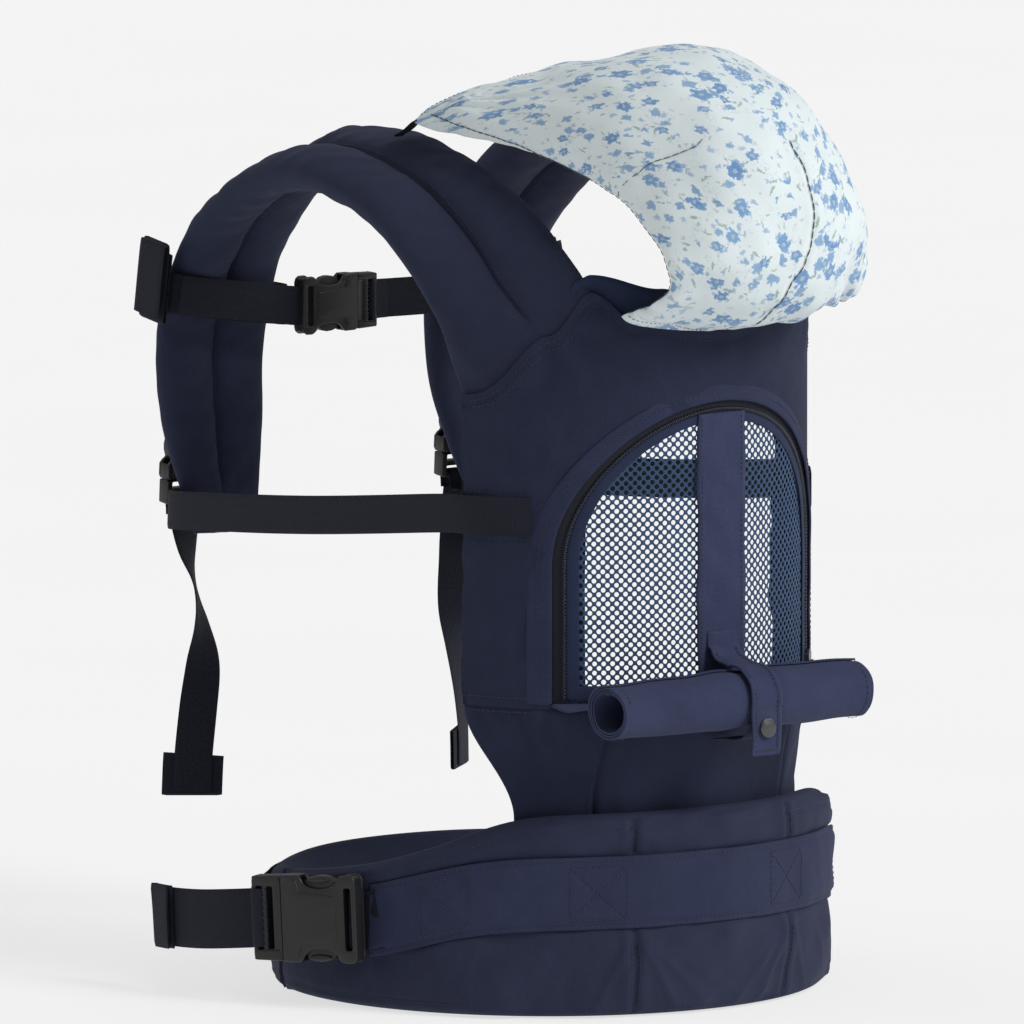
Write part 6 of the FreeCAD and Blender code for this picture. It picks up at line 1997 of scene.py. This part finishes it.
    for sg in (-1, 1):
        line, nn = [], []
        for i in range(2, nr - 4):
            a_, b_ = at_u(i, sg * (du.sum(1)[i] / 2 - 9.4), 0.75)
            line.append(a_)
            nn.append(b_)
        stitches(st, np.array(line), np.array(nn), length=5.0, gap=0.2, r=0.38)
    line, nn = [], []
    for i in range(nr):
        v_ = Vd[i, nc // 2]
        if not 30 < v_ < 166:
            continue
        a_, b_ = at_u(i, float(lerp(CROWN, v_)), 1.35)
        line.append(a_)
        nn.append(b_)
    stitches(st, np.array(line), np.array(nn), length=6.0, gap=0.12, r=0.5)
    # thread along the dart, drawn as a near-continuous dark line: painted shade for the dart's shadow crease, over the
    # real dent in the cloth
    line, nn = [], []
    for p_ in resample(DART, step=3.0)[0]:
        near = (U - p_[0]) ** 2 + (Vd - p_[1]) ** 2
        i, j = np.unravel_index(np.argmin(near), near.shape)
        line.append(P[i, j] + Pn[i, j] * 1.15)
        nn.append(Pn[i, j])
    line = np.array(line)
    for _ in range(3):
        line[1:-1] = (line[:-2] + 2 * line[1:-1] + line[2:]) / 4
    stitches(st, line, np.array(nn), length=6.0, gap=0.12, r=0.34)
    i = nr - 4
    k = int(np.argmin(np.abs(tip[:, nc // 2] - 8.6)))
    stitches(st, P[k, 8:-8] + Pn[k, 8:-8] * 0.55, Pn[k, 8:-8], length=2.2)
    k = int(np.argmin(np.abs(Vd[:, nc // 2] - 7.0)))
    stitches(st, P[k, 4:-4] + Pn[k, 4:-4] * 0.55, Pn[k, 4:-4], length=2.2)
    so = st.object("hood_stitching", M_HOODTHREAD)
    a0, a1 = place([(0, -186.0, 439.0)])[0], place([(0, -186.0, 463.0)])[0]
    for o in (ob, so):
        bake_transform(o)
    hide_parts("hood")
    # ties at the two front corners
    for sg, side in ((-1, "right"), (1, "left")):
        lo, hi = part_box(side + "_hood_tie")
        q0 = np.array([sg * 98.5, 12.6, 558.2])
        q1 = np.array([sg * 98.5, 28.5, 549.2])
        pts = catmull([q0 + [0, -5, 2.2], q0, (q0 + q1) / 2 + [0, 0, -0.8], q1, q1 + [0, 1.5, -1.0]], 5)
        t = ribbon(side + "_hood_tie_strip", pts, np.tile([[1.0, 0, 0]], (len(pts), 1)), 7.5, 1.3, M_WEB, cols=7)
        put(t, body=BODY_OF[side + "_hood_tie"], nodes=[side + "_hood_tie"])
    return ob


# =====================================================================
# everything
# =====================================================================
build_canvas()
build_lining()
build_neck_rise()
build_seat()
build_panel_stitches()
build_net()
build_window_trim()
build_centre_band()
build_roll()
build_snap_strap()
build_belt()
build_casing()
build_waist_webbing()
build_chest_webbing()
build_side_webbing()
for _b in BUCKLES:
    build_buckle(_b)
build_strap(-1, "right")
build_strap(1, "left")
build_hood()

for _n, _m in (("zipper_slider", M_SNAP), ("zipper_pull", M_SNAP), ("snap_cap", M_SNAP), ("snap_stud", M_SNAP)):
    o = frame["nodes"][_n]
    o.data.materials.clear()
    o.data.materials.append(_m)
    for p in o.data.polygons:
        p.material_index = 0

# ------------------------------------------------------------- studio
scene = bpy.context.scene


def floor_mat():
    m = Mat("floor_pale")
    n = m.noise(m.obj(), 3.0, 2.0)
    m.link(m.mixc(n, (0.27, 0.27, 0.27), (0.29, 0.29, 0.29)), m.bsdf.inputs["Base Color"])
    m.set(Roughness=0.9, Specular_IOR_Level=0.0, Emission_Color=(1, 1, 1, 1), Emission_Strength=0.67)
    return m.mat


me = bpy.data.meshes.new("studio_floor")
s_ = 9.0
me.from_pydata([(-s_, -s_, 0), (s_, -s_, 0), (s_, s_, 0), (-s_, s_, 0)], [], [(0, 1, 2, 3)])
me.materials.append(floor_mat())
floor = bpy.data.objects.new("studio_floor", me)
floor.location = (0, 0, -0.0006)
scene.collection.objects.link(floor)

world = bpy.data.worlds.new("studio")
scene.world = world
world.use_nodes = True
bg = world.node_tree.nodes["Background"]
bg.inputs[0].default_value = (0.985, 0.985, 0.99, 1)
bg.inputs[1].default_value = 0.34


def sun(name, direction, power, soft, col=(1, 1, 1)):
    l = bpy.data.lights.new(name, "SUN")
    l.energy = power
    l.angle = RAD(soft)
    l.color = col
    o = bpy.data.objects.new(name, l)
    o.rotation_euler = Vector(direction).to_track_quat("Z", "Y").to_euler()
    scene.collection.objects.link(o)
    return o


sun("key", (0.40, -1.0, 0.80), 1.95, 24)
sun("side", (1.0, -0.35, 0.55), 0.35, 40)
sun("back", (-0.75, 0.9, 0.9), 0.35, 35)

AZ, EL, DIST = -38.0, 7.5, 20.0
cam = bpy.data.cameras.new("camera")
cam.lens = 1098.7
cam.sensor_width = 36.0
cam.clip_start = 1.0
cam.clip_end = 90.0
co = bpy.data.objects.new("camera", cam)
tgt = Vector(((-18.66 + SX) / 1000, (14.59 + SY) / 1000, 0.3013))
back = Vector((math.sin(RAD(AZ)) * math.cos(RAD(EL)), -math.cos(RAD(AZ)) * math.cos(RAD(EL)), math.sin(RAD(EL))))
co.location = tgt + back * DIST
co.rotation_euler = back.to_track_quat("Z", "Y").to_euler()
scene.collection.objects.link(co)
scene.camera = co
scene.view_settings.view_transform = "Standard"

bpy.context.view_layer.update()
